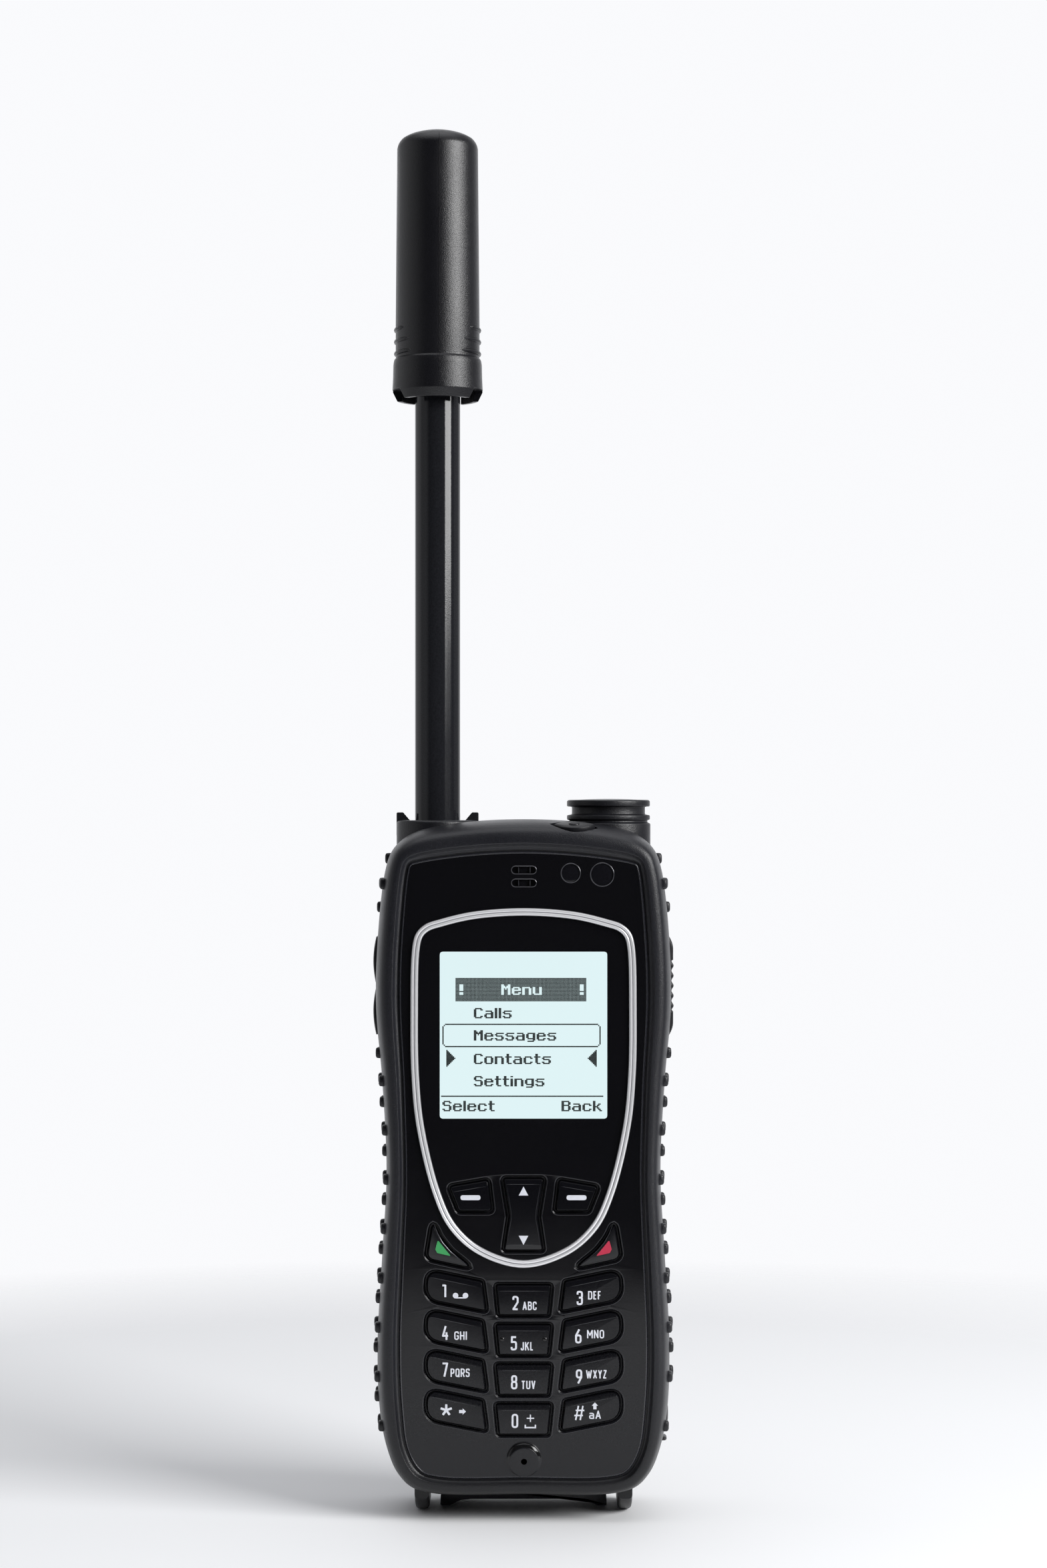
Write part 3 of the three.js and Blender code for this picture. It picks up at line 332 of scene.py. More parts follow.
def stadium(x, z, half_length, radius):
    """A slot outline with round ends."""
    points = []
    for side, first in ((1, -math.pi / 2), (-1, math.pi / 2)):
        for s in range(13):
            a = first + math.pi * s / 12
            centre_x = x + side * (half_length - radius)
            points.append(Vector((centre_x + radius * math.cos(a), z + radius * math.sin(a))))
    return points


def mirrored(corners):
    return [(-x, z, radius) for x, z, radius in reversed(corners)]


body_line = through(BODY_STATIONS)
plate_line = through(PLATE_STATIONS)
ring_line = through(RING_STATIONS)


# ------------------------------------------------------------------ mesh building
def at_depth(outline, y):
    return [Vector((p.x, y, p.y)) for p in outline]


def skin(bm, rings, cyclic=False, capped=True):
    """Joins equally long rings of points with quads: into a loop, or with both ends closed."""
    rows = [[bm.verts.new(p) for p in ring] for ring in rings]
    count = len(rows[0])
    pairs = list(zip(rows, rows[1:])) + ([(rows[-1], rows[0])] if cyclic else [])
    for first, second in pairs:
        for i in range(count):
            j = (i + 1) % count
            bm.faces.new((first[i], first[j], second[j], second[i]))
    if capped and not cyclic:
        bm.faces.new(rows[0])
        bm.faces.new(rows[-1][::-1])
    return rows


def sweep(bm, line, profile, cyclic=False, capped=True):
    """Skins rings that follow an outline, one for each (offset, depth) of a profile."""
    return skin(bm, [at_depth(grow(line, offset), y) for offset, y in profile], cyclic, capped)


def lathe(bm, profile, x=0.0, y=0.0, steps=72):
    """Turns an (r, z) profile round the vertical through (x, y); radius 0 makes a pole."""
    turns = [2 * math.pi * i / steps for i in range(steps)]
    rows = []
    for r, z in profile:
        if r == 0:
            rows.append([bm.verts.new((x, y, z))])
        else:
            rows.append([bm.verts.new((x + r * math.cos(a), y + r * math.sin(a), z)) for a in turns])
    pairs = list(zip(rows, rows[1:]))
    if len(rows[0]) > 1 and len(rows[-1]) > 1:
        pairs.append((rows[-1], rows[0]))
    for first, second in pairs:
        for i in range(steps):
            j = (i + 1) % steps
            a, b = first[i % len(first)], first[j % len(first)]
            c, d = second[j % len(second)], second[i % len(second)]
            corners = [v for k, v in enumerate((a, b, c, d)) if v not in (a, b, c, d)[:k]]
            bm.faces.new(corners)


def softened(points, radius, steps=4):
    """Rounds the inner corners of an open (r, z) profile."""
    made = [points[0]]
    for before, here, after in zip(points, points[1:], points[2:]):
        arms = [(Vector(p) - Vector(here)) for p in (before, after)]
        reach = min(radius, arms[0].length * 0.45, arms[1].length * 0.45)
        start, end = [Vector(here) + arm.normalized() * reach for arm in arms]
        for s in range(steps + 1):
            t = s / steps
            made.append(tuple(start.lerp(Vector(here), t).lerp(Vector(here).lerp(end, t), t)))
    return made + [points[-1]]


def block(bm, low, high):
    corners = [
        Vector((x, y, z)) for x in (low[0], high[0]) for y in (low[1], high[1]) for z in (low[2], high[2])
    ]
    v = [bm.verts.new(c) for c in corners]
    for quad in ((0, 1, 3, 2), (4, 6, 7, 5), (0, 4, 5, 1), (2, 3, 7, 6), (0, 2, 6, 4), (1, 5, 7, 3)):
        bm.faces.new([v[i] for i in quad])


def prism(bm, outline, y0, y1):
    skin(bm, [at_depth(outline, y0), at_depth(outline, y1)])


def about_mast(degrees):
    return Matrix.Translation((MAST_X, AXIS_Y, 0)) @ Matrix.Rotation(math.radians(degrees), 4, "Z")


def move_from(bm, first, place):
    """Moves the vertices made since a count by a matrix."""
    bm.verts.ensure_lookup_table()
    for vert in bm.verts[first:]:
        vert.co = place @ vert.co


def mesh_object(name, bm, angle=35):
    bmesh.ops.recalc_face_normals(bm, faces=bm.faces[:])
    mesh = bpy.data.meshes.new(name)
    bm.to_mesh(mesh)
    bm.free()
    mesh.transform(Matrix.Scale(MM, 4))
    resharpened(mesh, angle)
    made = bpy.data.objects.new(name, mesh)
    bpy.context.scene.collection.objects.link(made)
    return made


def put(name, bm, look, body, replaces=(), angle=35):
    """Makes a finished piece: its mesh, material, slot, body and the CAD nodes that it stands for."""
    made = mesh_object(name, bm, angle)
    made.data.materials.append(MATERIALS[look])
    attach(made, body)
    if replaces:
        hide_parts(*replaces)
    return made


def applied(made):
    """Applies a piece's modifiers to its mesh."""
    graph = bpy.context.evaluated_depsgraph_get()
    mesh = bpy.data.meshes.new_from_object(made.evaluated_get(graph))
    made.modifiers.clear()
    made.data = mesh
    return mesh


def resharpened(mesh, angle):
    mesh.shade_smooth()
    mesh.set_sharp_from_angle(angle=math.radians(angle))


def carve(made, cutter_bm, operation="DIFFERENCE"):
    """Cuts a mesh out of a piece, or keeps only what lies within it."""
    cutter = mesh_object("cutter", cutter_bm)
    change = made.modifiers.new("carve", "BOOLEAN")
    change.operation = operation
    change.solver = "EXACT"
    change.object = cutter
    resharpened(applied(made), 35)
    bpy.data.objects.remove(cutter)


def carve_blocks(made, *blocks):
    """Cuts boxes, each given by its low and high corner, out of a piece."""
    bm = bmesh.new()
    for low, high in blocks:
        block(bm, low, high)
    carve(made, bm)


def evened(made):
    """Weights a piece's normals by face area, so that its flat faces look flat."""
    even = made.modifiers.new("even", "WEIGHTED_NORMAL")
    even.keep_sharp = True
    applied(made)


def soften(made, width, segments=2, angle=40):
    """Rounds a piece's sharp edges, and keeps its flat faces looking flat."""
    change = made.modifiers.new("soften", "BEVEL")
    change.width = width * MM
    change.segments = segments
    change.limit_method = "ANGLE"
    change.angle_limit = math.radians(angle)
    change.use_clamp_overlap = True
    resharpened(applied(made), 50)
    evened(made)


# ------------------------------------------------------------------ rubber frame
# How far a ring lies from the body's outline towards the plate's, as a share, and its depth
FRAME_PROFILE = [
    (0.845, -13.28), (0.80, -13.56), (0.764, -13.84), (0.755, -13.92), (0.745, -13.96), (0.72, -13.98),
    (0.66, -13.99), (0.58, -13.96), (0.50, -13.87), (0.40, -13.65), (0.31, -13.2), (0.235, -12.4),
    (0.165, -11.3), (0.10, -9.8), (0.05, -7.8), (0.02, -5.2), (0.0, -2.0), (0.0, 1.0),
    (0.0, PARTING_Y - 0.25), (0.03, PARTING_Y),
]
FRAME_INNER, FRAME_BACK_Y = 0.45, -9.4


def frame_ring(amount, y):
    return at_depth(blended(body_line, plate_line, amount), y)


bm = bmesh.new()
lip = [at_depth(grow(plate_line, 0.3), y) for y in (-10.9, -12.9)]
lip_edge = [at_depth(grow(plate_line, 0.34), -13.05), at_depth(grow(plate_line, 0.44), -13.12)]
lip_edge.append(frame_ring(0.868, -13.16))
outside = [frame_ring(amount, y) for amount, y in FRAME_PROFILE]
inside = [frame_ring(FRAME_INNER, PARTING_Y), frame_ring(FRAME_INNER, FRAME_BACK_Y)]
inside += [at_depth(grow(plate_line, -1.0), y) for y in (FRAME_BACK_Y, -10.9)]
skin(bm, lip + lip_edge + outside + inside, cyclic=True)
rubber_frame = put("frame_rubber", bm, "rubber", "handset", ["rubber_frame"])


def carve_wells(made):
    """Cuts the upright wells of both antennas."""
    for x, radius in WELLS:
        bm = bmesh.new()
        lathe(bm, [(0, WELL_BOTTOM), (radius, WELL_BOTTOM), (radius, 150), (0, 150)], x, AXIS_Y)
        carve(made, bm)


def slot_ring(length, width, height):
    """A flat lens-shaped outline with pointed ends, tilted onto the sloping top edge."""
    turn = Matrix.Rotation(POWER_TILT, 3, "X")
    shares = [i / 12 - 1 for i in range(25)]
    lower = [(s * length / 2, -width / 2 * (1 - s * s) ** 0.9) for s in shares]
    upper = [(-x, -y) for x, y in lower[1:-1]]
    return [turn @ Vector((x, y, height)) + Vector(POWER_AT) for x, y in lower + upper]


carve_wells(rubber_frame)
for x0, (y0, y1), (z0, z1) in ((20, SIDE_Y, SIDE_Z), (-40, SIDE_Y, SIDE_Z), (20, COVER_Y, COVER_Z)):
    carve_blocks(rubber_frame, ((x0, y0, z0), (x0 + 20, y1, z1)))
bm = bmesh.new()
skin(bm, [slot_ring(9.8, 6.2, 2), slot_ring(9.4, 5.8, -3.4)])
carve(rubber_frame, bm)
soften(rubber_frame, 0.22)


# Grip nubs
def half_width(outline, z):
    """Half the width of an outline at a height."""
    for p, q in zip(outline, outline[1:] + outline[:1]):
        if p.x > 0 and (p.y - z) * (q.y - z) <= 0 and p.y != q.y:
            return p.x + (q.x - p.x) * (z - p.y) / (q.y - p.y)
    return 0.0


def flank(y):
    """The frame profile's blend and slope at a depth."""
    rows = FRAME_PROFILE[7:]
    for (a0, y0), (a1, y1) in zip(rows, rows[1:]):
        if y0 <= y <= y1:
            slope = (a1 - a0) / (y1 - y0)
            return a0 + slope * (y - y0), slope
    return 0.0, 0.0


def lozenge(bm, matrix, sizes, power=2.6, rows=8, turns=16):
    """A pillow-shaped bump: a superellipsoid about the matrix's origin."""
    def bent(value):
        return math.copysign(abs(value) ** (2 / power), value)

    angles = [2 * math.pi * j / turns for j in range(turns)]
    around = [(bent(math.cos(u)), bent(math.sin(u))) for u in angles]
    rings = []
    for i in range(1, rows):
        v = math.pi * i / rows - math.pi / 2
        x, reach = sizes[0] * bent(math.sin(v)), bent(math.cos(v))
        rings.append([matrix @ Vector((x, sizes[1] * reach * c, sizes[2] * reach * s)) for c, s in around])
    made = skin(bm, rings, capped=False)
    for ring, tip in ((made[0], -sizes[0]), (made[-1], sizes[0])):
        pole = bm.verts.new(matrix @ Vector((tip, 0, 0)))
        for i in range(turns):
            bm.faces.new((ring[i], ring[(i + 1) % turns], pole))


NUB_PITCH, NUB_LOWEST = 9.76, 18.0
NUB_COLUMNS = [(-9.6, 125.9), (-6.2, 92.2), (-2.6, 125.9), (1.2, 130.8)]
bm = bmesh.new()
for y, top in NUB_COLUMNS:
    amount, slope = flank(y)
    for row in range(13):
        z = top - row * NUB_PITCH
        if z < NUB_LOWEST or SIDE_Z[0] - 1.4 < z < SIDE_Z[1] + 1.4:
            continue
        body_half, plate_half = half_width(body_line, z), half_width(plate_line, z)
        band = body_half - plate_half
        for side in (-1, 1):
            if side > 0 and y > COVER_Y[0] - 1.5 and z < COVER_Z[1] + 1.4:
                continue
            turn = Matrix.Rotation(math.atan(slope * band) * side, 4, "Z")
            spot = Matrix.Translation((side * (body_half - amount * band), y, z))
            lozenge(bm, spot @ turn, (0.84, 0.9, 1.12), 3.6)
put("grip_nubs", bm, "rubber", "handset", ["rubber_frame"])

# Standing ribs: the front stretch is rubber, its nose curving up; the rear one is part of the casing
RIB_X, RIB_TOP, RIB_ROUND = (18.85, 21.65), 6.2, 0.95
RIB_NOSE = [(-7.5, 3.6), (-6.3, 2.65), (-5.0, 1.85), (-4.0, 1.35), (-3.0, 0.92), (-2.0, 0.58), (-1.0, 0.3),
            (0.0, 0.1), (1.0, 0.0), (PARTING_Y, 0.0)]


def ribs(bm, edge):
    """Both ribs, skinned through their lower edge given as (y, z) points."""
    for side in (-1, 1):
        x0, x1 = sorted(side * x for x in RIB_X)
        rings = []
        for y, z in edge:
            line = rounded([(x0, z, RIB_ROUND), (x1, z, RIB_ROUND), (x1, RIB_TOP, 0), (x0, RIB_TOP, 0)])
            rings.append(at_depth(line, y))
        skin(bm, rings)


bm = bmesh.new()
ribs(bm, RIB_NOSE)
put("front_ribs", bm, "rubber", "handset", ["rubber_frame"])

# ------------------------------------------------------------------ keys
ROW_PITCH, FIRST_ROW_Z = 7.84, 44.0
MIDDLE_KEY = [(-4.8, -2.95, 0.4), (4.8, -2.95, 0.4), (5.4, 2.9, 0.4), (-5.4, 2.9, 0.4)]
OUTER_KEY = [(-5.9, -3.95, 0.5), (5.7, -1.65, 3.0), (5.8, 4.0, 2.2), (-5.15, 1.75, 0.4)]
OUTER_X, OUTER_RISE = 13.3, 1.8
KEY_NAMES = ["123", "456", "789", ("star", "0", "hash")]
SOFT_KEY = [(6.3, 61.5, 0.6), (12.7, 61.5, 0.6), (14.6, 66.3, 0.6), (7.0, 67.6, 0.6)]
CALL_KEY = [(10.0, 50.2, 0.45), (19.1, 52.2, 1.6), (17.9, 59.6, 0.6), (16.5, 56.4, 8), (14.3, 53.6, 8)]
NAV_KEY = [
    (-3.8, 53.8, 0.5), (3.8, 53.8, 0.5), (2.8, 60.6, 3), (4.0, 67.9, 0.5), (-4.0, 67.9, 0.5),
    (-2.8, 60.6, 3),
]
keys = {}
for row, names in enumerate(KEY_NAMES):
    for side, name in zip((-1, 0, 1), names):
        corners = MIDDLE_KEY if side == 0 else OUTER_KEY if side > 0 else mirrored(OUTER_KEY)
        rise = 0.0 if side == 0 else OUTER_RISE
        keys[name] = (corners, side * OUTER_X, FIRST_ROW_Z - row * ROW_PITCH + rise)
keys["soft_right"] = (SOFT_KEY, 0.0, 0.0)
keys["soft_left"] = (mirrored(SOFT_KEY), 0.0, 0.0)
keys["end"] = (CALL_KEY, 0.0, 0.0)
keys["call"] = (mirrored(CALL_KEY), 0.0, 0.0)
# The sloped strip along a key's edge: how far it reaches in, and how far its outer edge drops
RAMP, LOW_RAMP = (1.1, 0.3), (1.0, 0.25)
MIDDLE_COLUMN = ("2", "5", "8", "0")


def key_outline(name):
    corners, x, z = keys[name]
    return [p + Vector((x, z)) for p in rounded(corners)]


def cut_ramp(bm, start, end, reach, drop):
    """Slices a ramp along the edge of a key's face that runs from start to end, anticlockwise."""
    along = (end - start).normalized()
    out = Vector((along.y, -along.x))
    place = Vector((start.x - out.x * reach, FACE_Y, start.y - out.y * reach))
    normal = Vector((out.x * drop, -reach, out.y * drop)).normalized()
    parts = bm.verts[:] + bm.edges[:] + bm.faces[:]
    cut = bmesh.ops.bisect_plane(bm, geom=parts, plane_co=place, plane_no=normal, clear_outer=True)
    rim = [part for part in cut["geom_cut"] if isinstance(part, bmesh.types.BMEdge)]
    bmesh.ops.holes_fill(bm, edges=rim)


def key_cap(name, outline, ramps, body, node_name):
    """A key cap: sides that draw in towards a face cut by ramps, with softened edges."""
    bm = bmesh.new()
    sweep(bm, outline, [(0.0, -10.4), (0.0, -12.6), (-0.05, -13.0), (-0.12, -13.4), (-0.24, FACE_Y)])
    for start, end, reach, drop in ramps:
        cut_ramp(bm, Vector(start), Vector(end), reach, drop)
    soften(put(name, bm, "front_keys", body, [node_name], 25), 0.17, 3, 18)


def crease(name, line, look, body):
    """A fine raised line on a key's face, drawn through points given as (x, z): in a lighter look, a painted
    highlight along an edge of the key.
    """
    points = [Vector(p) for p in line]
    rings = []
    for i, here in enumerate(points):
        along = (points[min(i + 1, len(points) - 1)] - points[max(i - 1, 0)]).normalized()
        across = Vector((-along.y, along.x)) * (0.07 if 0 < i < len(points) - 1 else 0.03)
        foot, ridge = FACE_Y + 0.04, FACE_Y - 0.018
        sides = ((here - across, foot), (here, ridge), (here + across, foot))
        rings.append([Vector((p.x, y, p.y)) for p, y in sides])
    bm = bmesh.new()
    skin(bm, rings)
    put(name, bm, look, body, (), 60)


def between(start, end, reach, inset):
    """A line beside a key's edge: points from start to end, moved in by reach and kept off the ends."""
    first, last = Vector(start), Vector(end)
    along = (last - first).normalized()
    inward = Vector((-along.y, along.x)) * reach
    first, last = first + inward + along * inset, last + inward - along * inset
    return [first.lerp(last, k / 4) for k in range(5)]


def highest_edge(corners, x, z, lowest=False):
    """The two corners at a key's top (or bottom), in anticlockwise order."""
    order = sorted(range(len(corners)), key=lambda i: corners[i][1], reverse=not lowest)[:2]
    first, second = order if (order[0] + 1) % len(corners) == order[1] else order[::-1]
    return [(corners[i][0] + x, corners[i][1] + z) for i in (first, second)]


for name, (corners, x, z) in keys.items():
    low = name in ("call", "end")
    start, end = highest_edge(corners, x, z, low)
    ramps = [(start, end, *(LOW_RAMP if low else RAMP))]
    key_cap(f"cap_{name}", key_outline(name), ramps, f"key_{name}", f"key_{name}")
    if not low:
        inset = 0.65 if name.startswith("soft") or name in MIDDLE_COLUMN else 1.0
        crease(f"crease_{name}", between(start, end, RAMP[0], inset), "edge", f"key_{name}")
nav_line = rounded(NAV_KEY)
nav_ramps = [(*highest_edge(NAV_KEY, 0, 0, low), *RAMP) for low in (False, True)]
key_cap("cap_nav", nav_line, nav_ramps, "nav_rocker", "nav_rocker")
for place, (start, end, reach, _) in zip(("top", "bottom"), nav_ramps):
    crease(f"crease_nav_{place}", between(start, end, reach, 0.6), "edge", "nav_rocker")
# Along the rocker's right side and the call key's slanting edge the brighter rim look paints a stronger
# highlight, where the light falls; the other lines take the edge look.
NAV_SIDE = [(3.25, 54.9), (2.85, 57.6), (2.4, 60.0), (2.42, 61.4), (2.9, 64.3), (3.35, 66.9)]
crease("crease_nav_right", NAV_SIDE, "rim", "nav_rocker")
crease("crease_nav_left", [(-x, z) for x, z in NAV_SIDE], "edge", "nav_rocker")
CALL_SIDE = [(17.55, 58.9), (16.9, 57.1), (15.9, 55.3), (14.4, 53.6), (12.9, 52.3), (11.4, 51.15)]
crease("crease_end", CALL_SIDE, "edge", "key_end")
crease("crease_call", [(-x, z) for x, z in CALL_SIDE], "rim", "key_call")

# ------------------------------------------------------------------ front plate
WELL_PROFILE = [
    (0.86, PLATE_Y), (0.80, -13.19), (0.66, -13.13), (0.52, -13.05), (0.42, -12.95), (0.37, -12.8),
    (0.35, -12.5), (0.35, PLATE_BACK_Y),
]
EAR_ZS, EAR_HALF, EAR_RADIUS = (126.15, 128.7), 2.53, 0.85
EAR_X, POST_XS, POST_STRETCH = 0.07, (-0.95, 1.3), 7
LIGHTS = [("signal_light", 9.3, 128.1, 2.0), ("light_sensor", 15.5, 127.8, 2.4)]
MIC_X, MIC_Z, MIC_RADIUS, MIC_FACE, MIC_HOLE, MIC_DROP = 0.1, 12.6, 3.5, 2.85, 0.6, 0.42
SCREEN_HALF, SCREEN_BOTTOM, SCREEN_TOP = 16.5, 79.7, 112.6
RECESS_PROFILE = [(0.0, PLATE_Y), (0.0, -12.4)]
PLATE_EDGE = [
    (-0.50, PLATE_Y), (-0.34, -13.17), (-0.19, -13.09), (-0.08, -12.97), (-0.02, -12.82), (0.0, -12.6),
    (0.0, PLATE_BACK_Y),
]

key_lines = [key_outline(name) for name in keys] + [nav_line]
ear_lines = [stadium(EAR_X, z, EAR_HALF, EAR_RADIUS) for z in EAR_ZS]
screen_line = rectangle(-SCREEN_HALF, SCREEN_HALF, SCREEN_BOTTOM, SCREEN_TOP, 0.7)
openings = [(line, WELL_PROFILE) for line in key_lines]
openings += [(line, RECESS_PROFILE) for line in ear_lines]
openings += [(circle(x, z, radius), RECESS_PROFILE) for _, x, z, radius in LIGHTS]
openings.append((screen_line, [(0.0, PLATE_Y), (0.0, PLATE_BACK_Y)]))
bm = bmesh.new()
plate_rings = sweep(bm, plate_line, PLATE_EDGE, capped=False)
rims = [sweep(bm, line, profile, capped=False) for line, profile in openings]


def fill_face(bm, outer, holes):
    """Fills the flat region between an outer loop and the holes in it."""
    loops = [outer] + holes
    flat = [v for loop in loops for v in loop]
    for a, b, c in tessellate_polygon([[v.co.xzy for v in loop] for loop in loops]):
        if len({a, b, c}) == 3:
            try:
                bm.faces.new((flat[a], flat[b], flat[c]))
            except ValueError:
                pass


through_rims = [rim for rim, (_, profile) in zip(rims, openings) if profile[-1][1] == PLATE_BACK_Y]
fill_face(bm, plate_rings[0], [rim[0] for rim in rims])
fill_face(bm, plate_rings[-1], [rim[-1] for rim in through_rims])
for rim in rims:
    if rim not in through_rims:
        bm.faces.new(rim[-1])
evened(put("plate", bm, "plate", "handset", ["front_plate"], 30))



def rims_piece(name, lines, profile, look, angle=35):
    """One piece that follows outlines with a closed profile."""
    bm = bmesh.new()
    for line in lines:
        sweep(bm, line, profile, cyclic=True)
    put(name, bm, look, "handset", (), angle)


# Painted highlights: a fine bead in a lighter colour round the plate and round each key's hole, standing in
# for the light their edges catch, and a skirt under each gap
PLATE_BEAD = [
    (-0.46, -13.1), (-0.44, PLATE_Y), (-0.40, -13.235), (-0.34, -13.25), (-0.26, -13.235),
    (-0.04, -12.98), (0.0, -12.8),
]
WELL_BEAD = [(0.88, -13.1), (0.86, -13.215), (0.81, -13.235), (0.76, -13.215), (0.72, -13.1)]
GASKET = [(-0.2, -12.4), (-0.1, -12.72), (0.32, -12.8), (0.4, -12.4)]
SKIRT = [(0.4, -12.55), (0.12, -12.5), (0.12, -12.3), (0.4, -12.3)]
rims_piece("plate_bead", [plate_line], PLATE_BEAD, "edge", angle=50)
rims_piece("plate_gasket", [plate_line], GASKET, "keys")
rims_piece("well_beads", key_lines, WELL_BEAD, "edge", angle=50)
rims_piece("key_skirts", key_lines, SKIRT, "keys")

# The sound opening in each earpiece slot, as a dark well in its floor
bm = bmesh.new()
for z in EAR_ZS:
    sweep(bm, stadium(0.2, z, 0.95, 0.58), [(0.05, -12.46), (0.0, -12.5), (0.0, -11.6)])
put("sound_holes", bm, "lens", "handset")

# Microphone boss: a low cone whose face leans forward at the top, with one hole
# Each ring has a radius, how far its centre lies under the boss's, a depth and how far it leans
MIC_RINGS = [
    (MIC_RADIUS, 0.0, -12.9, 0.0), (MIC_RADIUS, 0.0, -13.2, 0.0), (MIC_RADIUS - 0.06, 0.02, -13.25, 0.02),
    (MIC_FACE + 0.08, 0.52, -13.56, 0.105), (MIC_FACE, 0.56, -13.6, 0.115),
    (MIC_FACE - 0.1, 0.58, -13.62, 0.115), (MIC_HOLE + 0.08, MIC_DROP, -13.62, 0.115),
    (MIC_HOLE, MIC_DROP, -13.6, 0.115), (MIC_HOLE, MIC_DROP, -12.9, 0.0),
]
CRESCENT_RINGS = [(MIC_RADIUS - 0.1, 0.04, -13.29, 0.03), (MIC_FACE + 0.1, 0.5, -13.56, 0.105)]


def leaning_arc(radius, drop, y, lean, angles):
    """Points of a circle round the microphone, whose upper side leans forward."""
    points = []
    for a in angles:
        up = radius * math.sin(a)
        points.append(Vector((MIC_X + radius * math.cos(a), y - lean * up, MIC_Z - drop + up)))
    return points


bm = bmesh.new()
skin(bm, [leaning_arc(*ring, [2 * math.pi * i / 48 for i in range(48)]) for ring in MIC_RINGS], cyclic=True)
put("mic_boss", bm, "plate", "handset", ["front_plate"], 30)

# The bright crescent on the boss's upper slope: its section runs from the outer arc over a crest to
# the inner arc, and back underneath
bm = bmesh.new()
angles = [math.radians(8 + 164 * k / 24) for k in range(25)]
outer, inner = [leaning_arc(*ring, angles) for ring in CRESCENT_RINGS]
crest = [a.lerp(b, 0.5) + Vector((0, -0.06, 0.02)) for a, b in zip(outer, inner)]
under = Vector((0, 0.12, 0))
skin(bm, [(a, b, c, c + under, a + under) for a, b, c in zip(outer, crest, inner)])
put("mic_crescent", bm, "gloss", "handset", (), 60)
bm = bmesh.new()
prism(bm, circle(MIC_X, MIC_Z - MIC_DROP, MIC_HOLE + 0.02, 24), -13.2, -12.8)
put("mic_hole", bm, "lens", "handset")

# Earpiece slots: a polished rim each, and two thin posts across it
EAR_RIM = [(0.0, -12.5), (0.0, -13.23), (-0.06, -13.27), (-0.13, -13.25), (-0.18, -13.12), (-0.2, -12.5)]
bm = bmesh.new()
for z, line in zip(EAR_ZS, ear_lines):
    sweep(bm, line, EAR_RIM, cyclic=True)
    for x in POST_XS:
        post = [Vector((p.x, z + (p.y - z) * POST_STRETCH)) for p in stadium(x, z, 0.09, 0.09)]
        prism(bm, post, -12.3, -12.95)
put("ear_rims", bm, "rim", "handset")

# Light lenses, each in a thin polished rim
LENS_RIM = [(0.0, -12.9), (0.0, -13.23), (-0.07, -13.28), (-0.17, -13.26), (-0.24, -13.14), (-0.25, -12.9)]
for name, x, z, radius in LIGHTS:
    bm = bmesh.new()
    skin(bm, [at_depth(circle(x, z, radius + d, 48), y) for d, y in LENS_RIM], cyclic=True)
    put(f"{name}_rim", bm, "rim", "handset")
    bm = bmesh.new()
    dome = [(radius - 0.3, -12.6), (radius - 0.3, -13.05), (radius * 0.7, -13.12), (radius * 0.3, -13.16)]
    skin(bm, [at_depth(circle(x, z, r, 48), y) for r, y in dome])
    put(f"{name}_lens", bm, "lens", "handset", [name])

# Chrome ring: two ridges with a groove between them
RING_PROFILE = [
    (0.0, -13.0), (0.0, -13.42), (0.05, -13.60), (0.14, -13.73), (0.26, -13.80), (0.50, -13.80),
    (0.62, -13.74), (0.70, -13.62), (0.76, -13.57), (0.82, -13.62), (0.90, -13.74), (1.02, -13.80),
    (1.27, -13.80), (1.40, -13.72), (1.49, -13.56), (1.53, -13.3), (1.53, -13.0), (1.53, -12.6),
    (0.0, -12.6),
]
bm = bmesh.new()
sweep(bm, ring_line, [(-inset, y) for inset, y in RING_PROFILE], cyclic=True)
put("ring", bm, "chrome", "handset", ["chrome_ring"], 60)


# ------------------------------------------------------------------ screen
bm = bmesh.new()
prism(bm, screen_line, -13.12, -11.4)
put("screen_panel", bm, "screen", "handset", ["display_window"])

# Dot-matrix letters, row by row from the top
GLYPHS = {
    "M": "##...##/###.###/#######/##.#.##/##...##/##...##/##...##/##...##",
    "C": ".#####./##...##/##...../##...../##...../##...../##...##/.#####.",
    "S": ".#####./##...##/##...../.#####./.....##/.....##/##...##/.#####.",
    "B": "######./##...##/##...##/######./##...##/##...##/##...##/######.",
    "a": "......./......./.#####./.....##/.######/##...##/##...##/.######",
    "c": "......./......./.#####./##...##/##...../##...../##...##/.#####.",
    "e": "......./......./.#####./##...##/#######/##...../##...##/.#####.",
    "g": "......./......./.######/##...##/##...##/##...##/.######/.....##/.#####.",
    "i": "##/../##/##/##/##/##/##",
    "k": "##...../##...../##..##./##.##../####.../##.##../##..##./##...##",
    "l": "##/##/##/##/##/##/##/##",
    "n": "......./......./######./##...##/##...##/##...##/##...##/##...##",
    "o": "......./......./.#####./##...##/##...##/##...##/##...##/.#####.",
    "s": "......./......./.######/##...../.#####./.....##/##...##/.#####.",
    "t": ".##../.##../#####/.##../.##../.##../.##../..###",
    "u": "......./......./##...##/##...##/##...##/##...##/##...##/.######",
    "!": "###/###/###/###/###/.../###/###",
}
DOT = 2 * SCREEN_HALF / 128


def word_dots(word, column, row):
    """The lit dots of a word whose top left dot is given."""
    dots = set()
    for letter in word:
        lines = GLYPHS[letter].split("/")
        for r, line in enumerate(lines):
            dots |= {(column + c, row + r) for c, mark in enumerate(line) if mark == "#"}
        column += len(lines[0]) + 1
    return dots


def word_width(word):
    return sum(len(GLYPHS[letter].split("/")[0]) + 1 for letter in word) - 1


